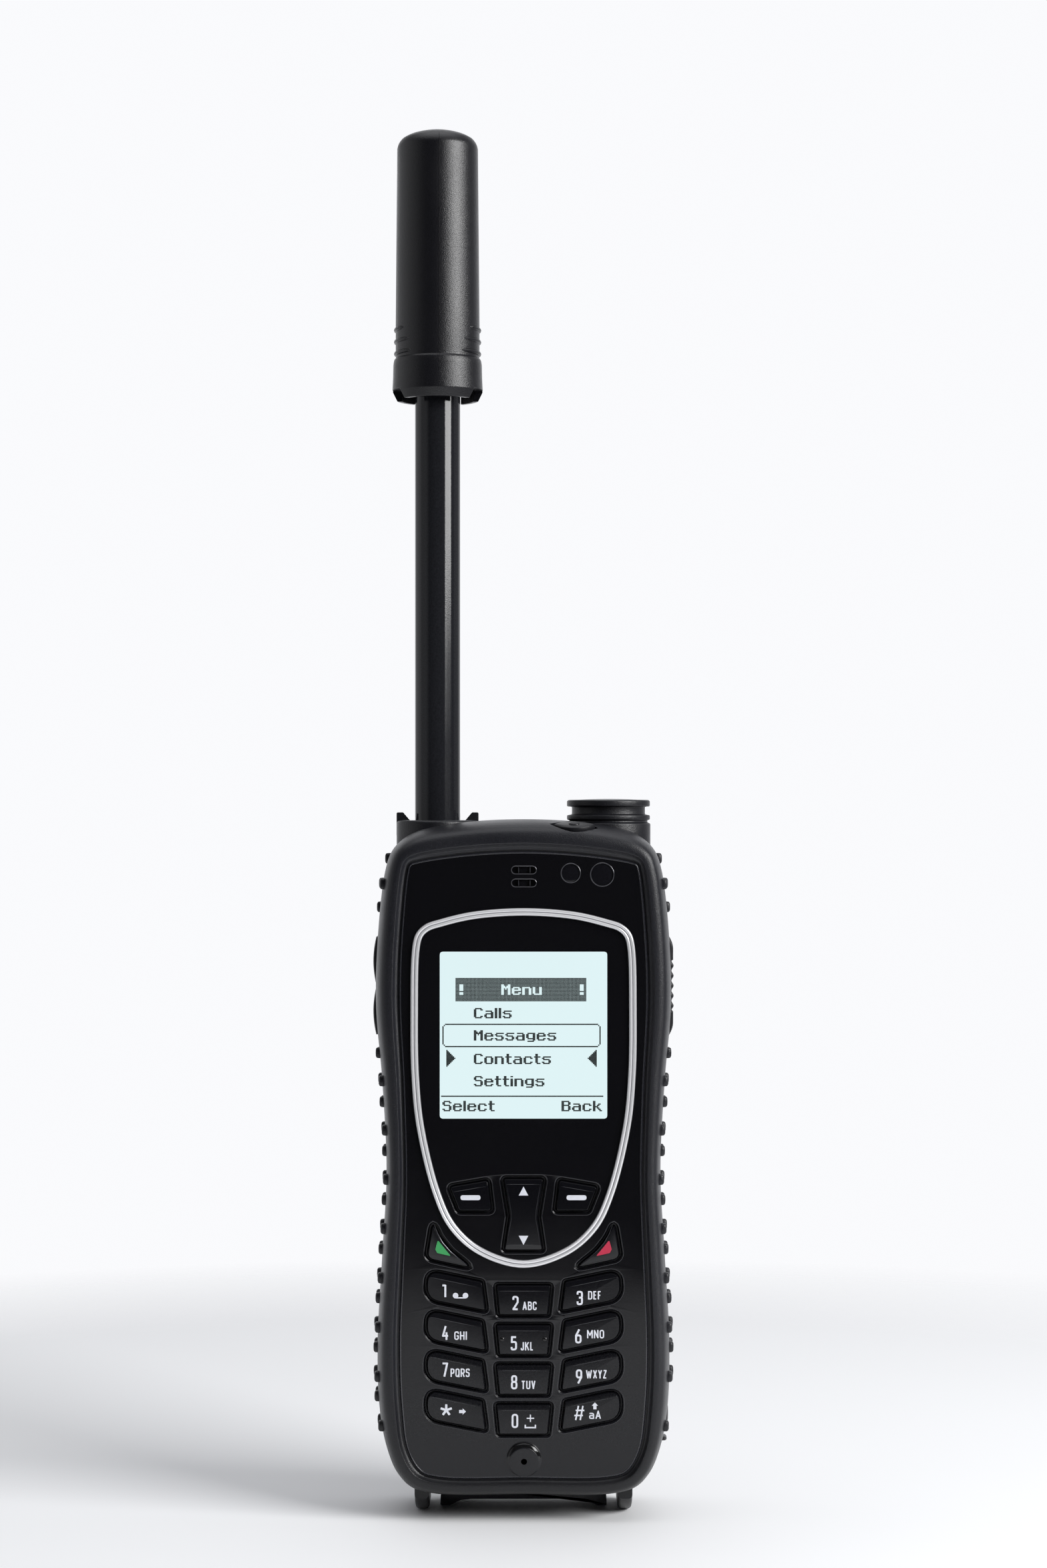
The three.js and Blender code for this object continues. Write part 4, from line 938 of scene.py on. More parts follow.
HEADER_ROWS, FRAME_ROWS, ARROW_ROWS = range(20, 38), range(56, 72), range(75, 88)


def menu_dots():
    """The lit dots: a header in reverse, four entries, a frame round one, arrows and a footer."""
    dots = {(c, r) for c in range(12, 112) for r in HEADER_ROWS}
    dots ^= word_dots("Menu", 62 - word_width("Menu") // 2, 25)
    for column in (15, 107):
        dots ^= word_dots("!", column, 25)
    for entry, row in zip(("Calls", "Messages", "Contacts", "Settings"), (43, 60, 78, 95)):
        dots |= word_dots(entry, 26, row)
    first, last = FRAME_ROWS[0], FRAME_ROWS[-1]
    for c in range(4, 121):
        dots |= {(c, first - 1), (c, last + 1)}
    for r in FRAME_ROWS[1:-1]:
        dots |= {(2, r), (122, r)}
    dots |= {(c, r) for c in (3, 121) for r in (first, last)}
    for step in range(7):
        for r in ARROW_ROWS[step:len(ARROW_ROWS) - step]:
            dots |= {(5 + step, r), (119 - step, r)}
    dots |= {(c, 110) for c in range(1, 125)}
    return dots | word_dots("Select", 2, 114) | word_dots("Back", 124 - word_width("Back"), 114)


bm = bmesh.new()
for c, r in sorted(menu_dots()):
    x, z = -SCREEN_HALF + (c + 0.5) * DOT, SCREEN_TOP - (r + 0.5) * DOT
    half = DOT * (0.47 if r in HEADER_ROWS else 0.497)
    corners = [(x - half, z - half), (x + half, z - half), (x + half, z + half), (x - half, z + half)]
    bm.faces.new([bm.verts.new((px, -13.135, pz)) for px, pz in corners])
put("screen_text", bm, "dots", "handset")


# ------------------------------------------------------------------ legends on the keys
PRINT_Y = FACE_Y - 0.02
# Strokes of each sign on a unit box, parted by slashes. Their points are x,z or, for a corner that is
# rounded by r half widths, x,z,r. "O" first closes a stroke.
STROKES = {
    "0": "O 0,0,1 1,0,1 1,1,1 0,1,1",
    "1": "1,0 1,1 / -.9,.95 1,.95",
    "2": "0,.76 0,1,1 1,1,1 1,.56,.8 0,0 1,0",
    "3": "0,.78 0,1,1 1,1,1 1,.53,.9 .3,.53 / .3,.53 1,.53,.9 1,0,1 0,0,1 0,.22",
    "4": ".6,1.06 0,.27 1.15,.27 / .78,.55 .78,-.06",
    "5": "1,1 .08,1 .03,.6 1,.62,1 1,0,1 0,0,1 0,.2",
    "6": "O 0,0,1 1,0,1 1,.58,1 0,.58,1 / 0,.3 0,.56,.8 .7,1.06",
    "7": "-.1,1 1,1 .32,-.07",
    "8": "O 0,0,1 1,0,1 1,.53,1 0,.53,1 / O .05,.53,1 .95,.53,1 .95,1,1 .05,1,1",
    "9": "O 0,.42,1 1,.42,1 1,1,1 0,1,1 / 1,.7 1,.44,.8 .3,-.06",
    "A": "0,-.05 .5,1 1,-.05 / .2,.3 .8,.3",
    "B": "O 0,0 1,0,.9 1,.53,.8 0,.53 / O 0,.53 .95,.53,.8 .95,1,.9 0,1",
    "C": "1,.72 1,1,1 0,1,1 0,0,1 1,0,1 1,.28",
    "D": "O 0,0 1,0,1.3 1,1,1.3 0,1",
    "E": "1,1 0,1 0,0 1,0 / 0,.52 .85,.52",
    "F": "1,1 0,1 0,-.07 / 0,.5 .85,.5",
    "G": "1,.74 1,1,1 0,1,1 0,0,1 1,0,1 1,.46 .55,.46",
    "H": "0,-.07 0,1.07 / 1,-.07 1,1.07 / 0,.5 1,.5",
    "I": "0,-.07 0,1.07",
    "J": "1,1.07 1,0,1 0,0,1 0,.26",
    "K": "0,-.07 0,1.07 / 1,1.05 .05,.42 / .4,.62 1.05,-.05",
    "L": "0,1.07 0,0 1,0",
    "M": "0,-.07 0,1 .5,.35 1,1 1,-.07",
    "N": "0,-.07 0,1 1,0 1,1.07",
    "O": "O 0,0,1 1,0,1 1,1,1 0,1,1",
    "P": "0,-.07 0,1 1,1,1 1,.44,1 0,.44",
    "Q": "O 0,0,1 1,0,1 1,1,1 0,1,1 / .6,.22 1.1,-.1",
    "R": "0,-.07 0,1 1,1,1 1,.45,1 0,.45 / .5,.45 1.02,-.07",
    "S": "1,.78 1,1,1 0,1,1 0,.52,1 1,.52,1 1,0,1 0,0,1 0,.22",
    "T": "-.1,1 1.1,1 / .5,-.07 .5,1",
    "U": "0,1.07 0,0,1 1,0,1 1,1.07",
    "V": "0,1.07 .5,0 1,1.07",
    "W": "0,1.07 .27,0 .5,.85 .73,0 1,1.07",
    "X": "0,-.05 1,1.05 / 0,1.05 1,-.05",
    "Y": "0,1.06 .5,.45 1,1.06 / .5,.45 .5,-.07",
    "Z": "0,1 1,1 0,0 1.05,0",
    "a": ".08,.6 .1,.68,.5 1,.68,1 1,-.07 / O 0,0,.8 1,0,.2 1,.38,.2 0,.38,.8",
    "#": ".1,-.06 .42,1.06 / .62,-.06 .94,1.06 / -.06,.3 .94,.3 / .1,.7 1.1,.7",
}
LETTER_WIDTHS = {
    "I": 0.27, "E": 0.7, "F": 0.68, "J": 0.66, "L": 0.68, "M": 1.08, "W": 1.3, "S": 0.8, "Z": 0.78,
    "A": 0.95, "C": 0.82, "T": 0.8, "P": 0.8,
}
LETTER_WIDTH, LETTER_SPACE = 0.86, 0.2


def flat_shape(bm, outline, y=PRINT_Y):
    bm.faces.new([bm.verts.new((p.x, y, p.y)) for p in outline])


def eased(points, closed, radius_unit, shortest=1e-4):
    """A stroke's centre line: points with a third number are rounded off."""
    count = len(points)
    made = []
    for i, point in enumerate(points):
        here = Vector(point[:2])
        if len(point) < 3 or (not closed and i in (0, count - 1)):
            made.append(here)
            continue
        ends = [Vector(points[k % count][:2]) for k in (i - 1, i + 1)]
        arms = [end - here for end in ends]
        turn = arms[0].angle(arms[1])
        reach = min(point[2] * radius_unit / math.tan(turn / 2), arms[0].length * 0.5, arms[1].length * 0.5)
        start, end = [here + arm.normalized() * reach for arm in arms]
        for s in range(7):
            t = s / 6
            made.append(start.lerp(here, t).lerp(here.lerp(end, t), t))
    kept = []
    for point in made:
        if not kept or (point - kept[-1]).length > shortest:
            kept.append(point)
    if closed and (kept[0] - kept[-1]).length < shortest:
        kept.pop()
    return kept


def ribbon(bm, centre, width, closed=False, y=PRINT_Y):
    """A flat stroke of even width along a centre line."""
    count = len(centre)
    edges = []
    for i, here in enumerate(centre):
        before = centre[i - 1] if closed or i else here
        after = centre[(i + 1) % count] if closed or i < count - 1 else here
        first = (here - before).normalized() if here != before else (after - here).normalized()
        second = (after - here).normalized() if here != after else first
        sides = [Vector((-d.y, d.x)) for d in (first, second)]
        mitre = (sides[0] + sides[1]).normalized()
        offset = mitre * (width / 2 / max(mitre.dot(sides[0]), 0.62))
        edges.append([bm.verts.new((p.x, y, p.y)) for p in (here + offset, here - offset)])
    for i in range(count if closed else count - 1):
        a, b = edges[i], edges[(i + 1) % count]
        bm.faces.new((a[0], a[1], b[1], b[0]))


def straight_parts(line):
    """The parts of an open centre line between its sharp corners."""
    parts, start = [], 0
    for i in range(1, len(line) - 1):
        if (line[i] - line[i - 1]).angle(line[i + 1] - line[i]) > 1.2:
            parts.append(line[start:i + 1])
            start = i
    return parts + [line[start:]]


def sign(bm, glyph, left, base, width, height, weight):
    """Prints one sign whose inked box starts at (left, base)."""
    run, rise = width - weight, height - weight
    for k, stroke in enumerate(STROKES[glyph].split("/")):
        marks = stroke.split()
        closed = marks[0] == "O"
        points = []
        for mark in marks[closed:]:
            x, z, *radius = [float(part) for part in mark.split(",")]
            points.append((left + weight / 2 + x * run, base + weight / 2 + z * rise, *radius))
        centre = eased(points, closed, max(run, 0.4) / 2)
        parts = [centre] if closed else straight_parts(centre)
        lap = weight * 0.3
        for j, part in enumerate(parts):
            if j:
                part = [part[0] + (part[0] - part[1]).normalized() * lap] + part[1:]
            if j < len(parts) - 1:
                part = part[:-1] + [part[-1] + (part[-1] - part[-2]).normalized() * lap]
            ribbon(bm, part, weight, closed, PRINT_Y - 0.001 * k - 0.0003 * j)


def word(bm, text, left, right, base, height, weight):
    """Prints a word so that it fills the room between left and right."""
    widths = [LETTER_WIDTHS.get(letter, LETTER_WIDTH) for letter in text]
    scale = (right - left) / (sum(widths) + LETTER_SPACE * (len(text) - 1))
    for letter, width in zip(text, widths):
        sign(bm, letter, left, base, width * scale, height, weight)
        left += (width + LETTER_SPACE) * scale


def block_arrow(tip_x, tip_z, turns):
    """A short block arrow pointing right, turned anticlockwise by quarter turns."""
    upper = [(-0.65, 0.62), (-0.65, 0.31), (-1.35, 0.31)]
    shape = [(0, 0)] + upper + [(x, -z) for x, z in reversed(upper)]
    turn = Matrix.Rotation(turns * math.pi / 2, 2)
    return [turn @ Vector(p) + Vector((tip_x, tip_z)) for p in shape]


DIGIT_HEIGHT, DIGIT_WEIGHT, HASH_WEIGHT, LETTER_HEIGHT, LETTER_WEIGHT = 2.8, 0.37, 0.3, 1.68, 0.25
# For each key: its number's left edge, base line and width, then its letters' ends and base line
NO_LETTERS = ("", 0, 0, 0)
KEY_PRINT = {
    "1": ("1", -15.87, 44.44, 0.67, *NO_LETTERS),
    "4": ("4", -16.03, 36.17, 1.25, "GHI", -13.63, -11.1, 36.2),
    "7": ("7", -16.03, 28.96, 1.2, "PQRS", -14.36, -10.59, 28.9),
    "2": ("2", -2.19, 42.07, 1.23, "ABC", -0.2, 2.58, 42.07),
    "5": ("5", -2.52, 34.14, 1.24, "JKL", -0.55, 1.96, 34.12),
    "8": ("8", -2.47, 26.47, 1.27, "TUV", -0.42, 2.35, 26.5),
    "0": ("0", -2.34, 18.85, 1.3, *NO_LETTERS),
    "3": ("3", 10.46, 43.06, 1.23, "DEF", 12.7, 15.28, 44.15),
    "6": ("6", 10.15, 35.51, 1.28, "MNO", 12.5, 15.87, 36.5),
    "9": ("9", 10.3, 27.6, 1.25, "WXYZ", 12.28, 16.37, 28.6),
    "star": ("", 0, 0, 0, *NO_LETTERS),
    "hash": ("#", 9.95, 20.43, 2.0, "aA", 12.9, 15.25, 20.64),
}
REEL_XS, REEL_Z, REEL_RADIUS, TAPE_WEIGHT = (-13.37, -11.42), 44.93, 0.55, 0.24
STAR_AT, STAR_ARM, STAR_WEIGHT, STAR_POINTS = Vector((-15.2, 22.38)), 1.15, 0.44, 5
PLUS_X, PLUS_Z, PLUS_ARM, PLUS_WEIGHT = 1.36, 20.77, 0.73, 0.22
SPACE_MARK, SPACE_WEIGHT = [(0.35, 19.5), (0.35, 18.94), (2.34, 18.94), (2.34, 19.5)], 0.28
ARROWS = {"star": (-11.32, 22.1, 0), "hash": (14.05, 23.9, 1)}


def ribbon_through(bm, points, weight, lift=0.0):
    ribbon(bm, [Vector(p) for p in points], weight, y=PRINT_Y - lift)


def extra_marks(bm, name):
    """The signs that aren't letters: message tape on 1, plus and space on 0, star, arrows."""
    if name == "1":
        for x in REEL_XS:
            flat_shape(bm, circle(x, REEL_Z, REEL_RADIUS, 24))
        tape_z = REEL_Z - REEL_RADIUS + TAPE_WEIGHT / 2 - 0.01
        ribbon_through(bm, [(x, tape_z) for x in REEL_XS], TAPE_WEIGHT, 0.002)
    if name == "0":
        ribbon_through(bm, [(PLUS_X - PLUS_ARM, PLUS_Z), (PLUS_X + PLUS_ARM, PLUS_Z)], PLUS_WEIGHT)
        ribbon_through(bm, [(PLUS_X, PLUS_Z - PLUS_ARM), (PLUS_X, PLUS_Z + PLUS_ARM)], PLUS_WEIGHT, 0.001)
        ribbon_through(bm, SPACE_MARK, SPACE_WEIGHT)
    if name == "star":
        for k in range(STAR_POINTS):
            a = math.pi / 2 + 2 * math.pi * k / STAR_POINTS
            tip = STAR_AT + Vector((math.cos(a), math.sin(a))) * STAR_ARM
            ribbon_through(bm, [STAR_AT, tip], STAR_WEIGHT, 0.001 * k)
    if name in ARROWS:
        flat_shape(bm, block_arrow(*ARROWS[name]))


for name, (digit, left, base, width, text, word_left, word_right, word_base) in KEY_PRINT.items():
    bm = bmesh.new()
    if digit:
        sign(bm, digit, left, base, width, DIGIT_HEIGHT, HASH_WEIGHT if digit == "#" else DIGIT_WEIGHT)
    if text:
        word(bm, text, word_left, word_right, word_base, LETTER_HEIGHT, LETTER_WEIGHT)
    extra_marks(bm, name)
    put(f"legend_{name}", bm, "white", f"key_{name}")

SOFT_X, SOFT_Z, SOFT_LENGTH, SOFT_WIDTH = 10.43, 64.2, 3.93, 0.97
for name, side in (("soft_left", -1), ("soft_right", 1)):
    x0, z0 = side * SOFT_X - SOFT_LENGTH / 2, SOFT_Z - SOFT_WIDTH / 2
    bm = bmesh.new()
    flat_shape(bm, rectangle(x0, x0 + SOFT_LENGTH, z0, z0 + SOFT_WIDTH, SOFT_WIDTH * 0.5))
    put(f"legend_{name}", bm, "white", f"key_{name}")
bm = bmesh.new()
for z, tip in ((64.63, 66.4), (56.7, 54.9)):
    flat_shape(bm, [Vector((-0.94, z)), Vector((0.94, z)), Vector((0.0, tip))])
put("legend_nav", bm, "white", "nav_rocker")
CALL_MARK = [(14.29, 52.7, 0.12), (16.97, 53.3, 0.3), (17.36, 54.0, 0.2), (16.87, 55.86, 0.2)]
for name, look, mark in (("end", "red", CALL_MARK), ("call", "green", mirrored(CALL_MARK))):
    bm = bmesh.new()
    flat_shape(bm, rounded(mark))
    put(f"legend_{name}", bm, look, f"key_{name}")

# Two raised dots on the middle key of the second row, so that a finger can find it
bm = bmesh.new()
for dx in (-4.19, 4.19):
    spot = Matrix.Translation((dx, FACE_Y, 36.33)) @ Matrix.Rotation(math.pi / 2, 4, "Z")
    lozenge(bm, spot, (0.32, 0.5, 0.5), 2.0)
put("finder_dots", bm, "gloss", "key_5")

# ------------------------------------------------------------------ antenna
HEAD_OUTSIDE = [
    (7.4, 223.5), (8.3, 223.5), (8.34, 223.56), (9.12, 225.2), (9.16, 225.35), (9.03, 228.0),
    (8.98, 230.4), (8.95, 230.8), (8.84, 231.45), (8.80, 231.6), (8.62, 231.85), (8.50, 231.95),
    (8.46, 232.2), (8.5, 233.3), (8.5, 239.0), (8.36, 255.0), (8.18, 274.4), (8.04, 275.0),
    (7.8, 275.55), (7.4, 276.1), (7.09, 276.4), (6.68, 276.65), (6.14, 276.95), (5.44, 277.25),
    (4.5, 277.55), (3.3, 277.85), (1.3, 278.15), (0.0, 278.25),
]
HEAD_INSIDE = [(0, 272), (6.7, 272), (6.7, 234), (7.4, 232)]
bm = bmesh.new()
lathe(bm, HEAD_INSIDE + HEAD_OUTSIDE, MAST_X, AXIS_Y, 96)
head = put("head", bm, "head", "antenna", ["antenna_head"])
# Notches in the head's skirt: their direction round the mast and half their width
NOTCHES = [(194.5, 3.3), (345.5, 3.3), (62, 1.3), (118, 1.3)]
bm = bmesh.new()
for degrees, half in NOTCHES:
    first = len(bm.verts)
    block(bm, (5, -half, 222), (12, half, 225.6))
    move_from(bm, first, about_mast(degrees))
carve(head, bm)
soften(head, 0.12, 2, 35)

# Grip ribs on both sides of the head: height, and how many degrees each reaches round from the side
HEAD_RIBS = [(232.9, 55), (235.3, 51), (237.7, 39)]
RIB_CORE, RIB_OUT, RIB_UP = 8.35, 0.5, 0.46


def head_rib(bm, middle, reach, z):
    """A round-sectioned rib along an arc of the head, thinning out at its ends."""
    rings = []
    for share in [k / 12 - 1 for k in range(25)]:
        a = math.radians(middle + reach * share)
        taper = max(1 - abs(share) ** 6, 0.02) ** 0.5
        out, up = Vector((math.cos(a), math.sin(a), 0)), Vector((0, 0, 1))
        core = Vector((MAST_X, AXIS_Y, z)) + out * RIB_CORE
        around = [2 * math.pi * i / 10 for i in range(10)]
        wide, high = out * RIB_OUT * taper, up * RIB_UP * taper
        rings.append([core + wide * math.cos(t) + high * math.sin(t) for t in around])
    skin(bm, rings)


bm = bmesh.new()
for z, reach in HEAD_RIBS:
    for middle in (0, 180):
        head_rib(bm, middle, reach, z)
put("head_ribs", bm, "head", "antenna")

SEAM_SECTION = [(-0.2, -0.13), (0.07, 0.0), (-0.2, 0.13)]
bm = bmesh.new()
turn = about_mast(-86)
seam_line = [(r, z) for r, z in HEAD_OUTSIDE if z > 225.8 and r > 1.0]
skin(bm, [[turn @ Vector((r + out, across, z)) for out, across in SEAM_SECTION] for r, z in seam_line])
put("head_seam", bm, "head", "antenna")

bm = bmesh.new()
mast_profile = softened([
    (3.4, 231.0), (3.4, 127.0), (5.05, 127.0), (5.05, 130.0), (4.58, 130.4), (4.58, 231.0),
], 0.2, 3)
lathe(bm, mast_profile, MAST_X, AXIS_Y, 96)
put("mast", bm, "mast", "antenna", ["antenna_mast"])

bm = bmesh.new()
cup_profile = softened([
    (4.85, 130.5), (8.3, 130.5), (8.3, 138.1), (7.9, 138.5), (7.3, 138.5), (7.1, 136.5), (4.85, 136.5),
], 0.25, 3)
lathe(bm, cup_profile, MAST_X, AXIS_Y, 96)
FIN_LINE = [(5.3, 135.5, 0), (8.3, 135.5, 0), (8.3, 140.1, 0.3), (7.0, 140.1, 0.3), (5.3, 138.1, 0)]
for degrees in (0, 62, 118, 180):
    first = len(bm.verts)
    sweep(bm, rounded(FIN_LINE, 3), [(-0.12, -0.7), (0.0, -0.58), (0.0, 0.58), (-0.12, 0.7)])
    move_from(bm, first, about_mast(degrees))
put("cup", bm, "casing", "handset", ["antenna_cup"])

# ------------------------------------------------------------------ positioning antenna
bm = bmesh.new()
GPS_PROFILE = [
    (0, 141), (6.5, 141), (6.5, 130.5), (8.5, 130.5), (8.5, 137.8), (7.9, 138.1), (7.9, 138.5),
    (8.4, 138.6), (8.4, 139.5), (7.4, 139.7), (7.4, 141.2), (8.4, 141.3), (8.4, 142.35), (8.1, 142.6),
    (7.0, 142.6), (6.9, 142.1), (0, 142.1),
]
lathe(bm, softened(GPS_PROFILE, 0.22, 3), GPS_X, AXIS_Y, 96)
put("gps_spool", bm, "casing", "handset", ["gps_housing"])
bm = bmesh.new()
lathe(bm, [(0, 142.3), (6.6, 142.3), (6.62, 142.5), (6.3, 142.6), (4.4, 142.78), (2, 142.87), (0, 142.9)],
      GPS_X, AXIS_Y, 72)
put("gps_disc", bm, "gloss", "handset", ["gps_cap"])

# ------------------------------------------------------------------ buttons and cover on the sides
POWER_LENGTH, POWER_WIDTH = 8.2, 4.6
POWER_PROFILE = [(0.2, -2.6), (0.1, -0.75), (0.0, -0.2), (-0.15, 0.0), (-0.6, 0.14), (-1.3, 0.2)]
bm = bmesh.new()
skin(bm, [slot_ring(POWER_LENGTH + grown, POWER_WIDTH + grown, height) for grown, height in POWER_PROFILE])
upright = Matrix.Translation((0, 0.1, 0.15)) @ Matrix.Rotation(-math.pi / 2, 4, "Y")
tilted = Matrix.Translation(POWER_AT) @ Matrix.Rotation(POWER_TILT, 4, "X")
lozenge(bm, tilted @ upright, (0.38, 1.1, 1.1))
put("power_cap", bm, "keys", "power_button", ["power_button"])

ROCKER_Z, ROCKER_HALF = sum(SIDE_Z) / 2, (SIDE_Z[1] - SIDE_Z[0]) / 2 - 0.4


def side_key(bm, side, edge, y0, y1):
    """A long side key: an outer edge line given as (z, x), swept front to back with soft ends."""
    outline = [Vector((side * x, z)) for z, x in edge]
    outline += [Vector((side * SIDE_IN, edge[k][0])) for k in (-1, 0)]
    if side < 0:
        outline.reverse()
    front = [(-0.45, y0), (-0.18, y0 + 0.12), (0.0, y0 + 0.45)]
    back = [(0.0, y1 - 0.45), (-0.18, y1 - 0.12), (-0.45, y1)]
    sweep(bm, outline, front + back)


ROCKER_DIP, ROCKER_FALL = 0.6, 2.34
rocker_edge = []
for share in [i / 20 - 1 for i in range(41)]:
    away = abs(share)
    if away < 0.5:
        drop = ROCKER_DIP * (1 - math.sin(math.pi * away))
    else:
        drop = ROCKER_FALL * (away - 0.5) ** 2
    rocker_edge.append((ROCKER_Z + share * ROCKER_HALF, SIDE_OUT - drop))
bm = bmesh.new()
side_key(bm, -1, rocker_edge, SIDE_Y[0] + 0.4, SIDE_Y[1] - 0.4)
for dz, turns in ((5.2, (0, 1)), (-5.2, (0,))):
    for turn in turns:
        spot = Matrix.Translation((-SIDE_OUT + 0.02, sum(SIDE_Y) / 2, ROCKER_Z + dz))
        lozenge(bm, spot @ Matrix.Rotation(math.pi / 2 * turn, 4, "X"), (0.12, 1.4, 0.28), 3.0)
put("volume_key", bm, "keys", "volume_rocker", ["volume_rocker"])

RIDGE_PITCH, RIDGE_DEPTH, RIDGED_HALF = 2.0, 0.22, 5
talk_edge = []
for i in range(81):
    z = SIDE_Z[0] + GAP + (SIDE_Z[1] - SIDE_Z[0] - 2 * GAP) * i / 80
    away = abs(z - ROCKER_Z)
    drop = RIDGE_DEPTH * (1 - math.cos(2 * math.pi * away / RIDGE_PITCH)) if away < RIDGED_HALF else 0.1
    end = max(0.0, away - (ROCKER_HALF - 2.5))
    talk_edge.append((z, SIDE_OUT - drop - 0.12 * end ** 2))
bm = bmesh.new()
side_key(bm, 1, talk_edge, SIDE_Y[0] + GAP, SIDE_Y[1] - GAP)
put("talk_key", bm, "keys", "talk_button", ["talk_button"])

# Connector cover: the frame's flank cut to the cover's window
bm = bmesh.new()
skin(bm, [frame_ring(0.97, -13.2)] + outside + [frame_ring(0.03, 4.2)])
cover = put("cover_flap", bm, "rubber", "connector_cover", ["connector_cover"])
bm = bmesh.new()
block(bm, (26.3, COVER_Y[0] + GAP, COVER_Z[0] + GAP), (35, COVER_Y[1] - GAP, COVER_Z[1] - GAP))
carve(cover, bm, "INTERSECT")
soften(cover, 0.25)
bm = bmesh.new()
cover_y, cover_z = sum(COVER_Y) / 2, sum(COVER_Z) / 2
lozenge(bm, Matrix.Translation((28.45, cover_y, cover_z)), (0.55, 1.9, 2.7), 2.4)
lozenge(bm, Matrix.Translation((27.9, cover_y, COVER_Z[0] + 0.9)), (0.8, 2.2, 0.45), 3.0)
put("cover_detail", bm, "rubber", "connector_cover")

# ------------------------------------------------------------------ rear casing
CASING_PROFILE = [
    (0.05, 4.3), (0.02, 4.55), (0.02, 6.0), (0.05, 7.6), (0.10, 9.2), (0.17, 10.4), (0.26, 11.4),
    (0.37, 12.2), (0.50, 12.8), (0.62, 13.1), (0.74, 13.2),
]
bm = bmesh.new()
skin(bm, [frame_ring(amount, y) for amount, y in CASING_PROFILE])
casing = put("casing_back", bm, "casing", "handset", ["rear_casing"])


BATTERY_CORNERS = [(-23.5, 11.6), (23.5, 11.6), (23.5, 97), (-9.6, 97), (-9.6, 40), (-23.5, 40)]
BATTERY_RADIUS = 1.5


def battery_line(distance):
    """The battery's outline seen from the front, moved outwards by a distance."""
    moved = grow([Vector(p) for p in BATTERY_CORNERS], distance)
    return rounded([(p.x, p.y, BATTERY_RADIUS) for p in moved])


bm = bmesh.new()
prism(bm, battery_line(GAP), 5.6, 16)
carve(casing, bm)
bm = bmesh.new()
prism(bm, blended(body_line, plate_line, FRAME_INNER), 3.0, 4.9)
carve(casing, bm)
carve_wells(casing)
bm = bmesh.new()
lathe(bm, [(0, 41.5), (6.2, 41.5), (6.2, 132), (0, 132)], MAST_X, AXIS_Y)
carve(casing, bm)
LATCH_X, LATCH_Z, LATCH_TRAVEL = (-1.0, 15.0), (98.6, 105.2), 3.0
BEHIND = 16
SPEAKER_ZS, SPEAKER_HALF = (114.4, 117.4, 120.4), (5, 0.6)
latch_room = (
    (LATCH_X[0] - GAP, 10, LATCH_Z[0] - GAP),
    (LATCH_X[1] + GAP, BEHIND, LATCH_Z[1] + LATCH_TRAVEL + GAP),
)
slots = [
    ((-SPEAKER_HALF[0], 10.4, z - SPEAKER_HALF[1]), (SPEAKER_HALF[0], BEHIND, z + SPEAKER_HALF[1]))
    for z in SPEAKER_ZS
]
carve_blocks(casing, latch_room, *slots)
# Each screw's place and the depth of the seat under its head
SCREWS = [(-6, 103, 11.3), (20, 103, 11.3), (-14, 8.4, 10.4), (14, 8.4, 10.4)]
bm = bmesh.new()
for x, z, seat in SCREWS:
    prism(bm, circle(x, z, 2.2), seat, BEHIND)
carve(casing, bm)
soften(casing, 0.3)

# Casing part of the ribs, and the bar between them, arched underneath
BAR_ARCH = [(10.5, 1.45), (12.6, 1.25), (14.9, 0.15), (16.8, 0.15)]
BAR_SIDE, BAR_BACK_Y = 16.6, 11.0
bm = bmesh.new()
ribs(bm, [(PARTING_Y + GAP, 0.0), (9.0, 0.0)])
bar_line = [(-x, z, 0.35) for x, z in reversed(BAR_ARCH)] + [(x, z, 0.35) for x, z in BAR_ARCH]
for front, top in ((2.3, 4.6), (4.5, 6.2)):
    line = rounded(bar_line + [(BAR_SIDE, top, 0.2), (-BAR_SIDE, top, 0.2)], 4)
    front_edge = [(-0.3, front), (-0.1, front + 0.1), (0.0, front + 0.35)]
    sweep(bm, line, front_edge + [(0.0, BAR_BACK_Y - 0.35), (-0.3, BAR_BACK_Y)])
# The bar and ribs take the lighter base look: painted light thrown up from the floor
put("base_bar", bm, "base", "handset", ["rear_casing"])

SCREW_HEAD, CROSS_HALF, CROSS_DEPTH, CROSS_WIDTH = 1.5, 0.95, 0.7, 0.4
for i, (x, z, seat) in enumerate(SCREWS, 1):
    top = seat + GAP + SCREW_HEAD
    bm = bmesh.new()
    shank = [(1.0, seat - 4), (1.0, seat + 0.2)]
    cap = [(1.9, seat + 0.3), (1.9, top - 0.6), (1.7, top - 0.2), (1.2, top)]
    skin(bm, [at_depth(circle(x, z, r), y) for r, y in shank + cap])
    screw = put(f"casing_screw_{i}", bm, "steel", "handset", [f"screw_{i}"])
    for degrees in (45, 135):
        bm = bmesh.new()
        block(bm, (-CROSS_HALF, top - CROSS_DEPTH, -CROSS_WIDTH / 2), (CROSS_HALF, top + 1, CROSS_WIDTH / 2))
        move_from(bm, 0, Matrix.Translation((x, 0, z)) @ Matrix.Rotation(math.radians(degrees), 4, "Y"))
        carve(screw, bm)

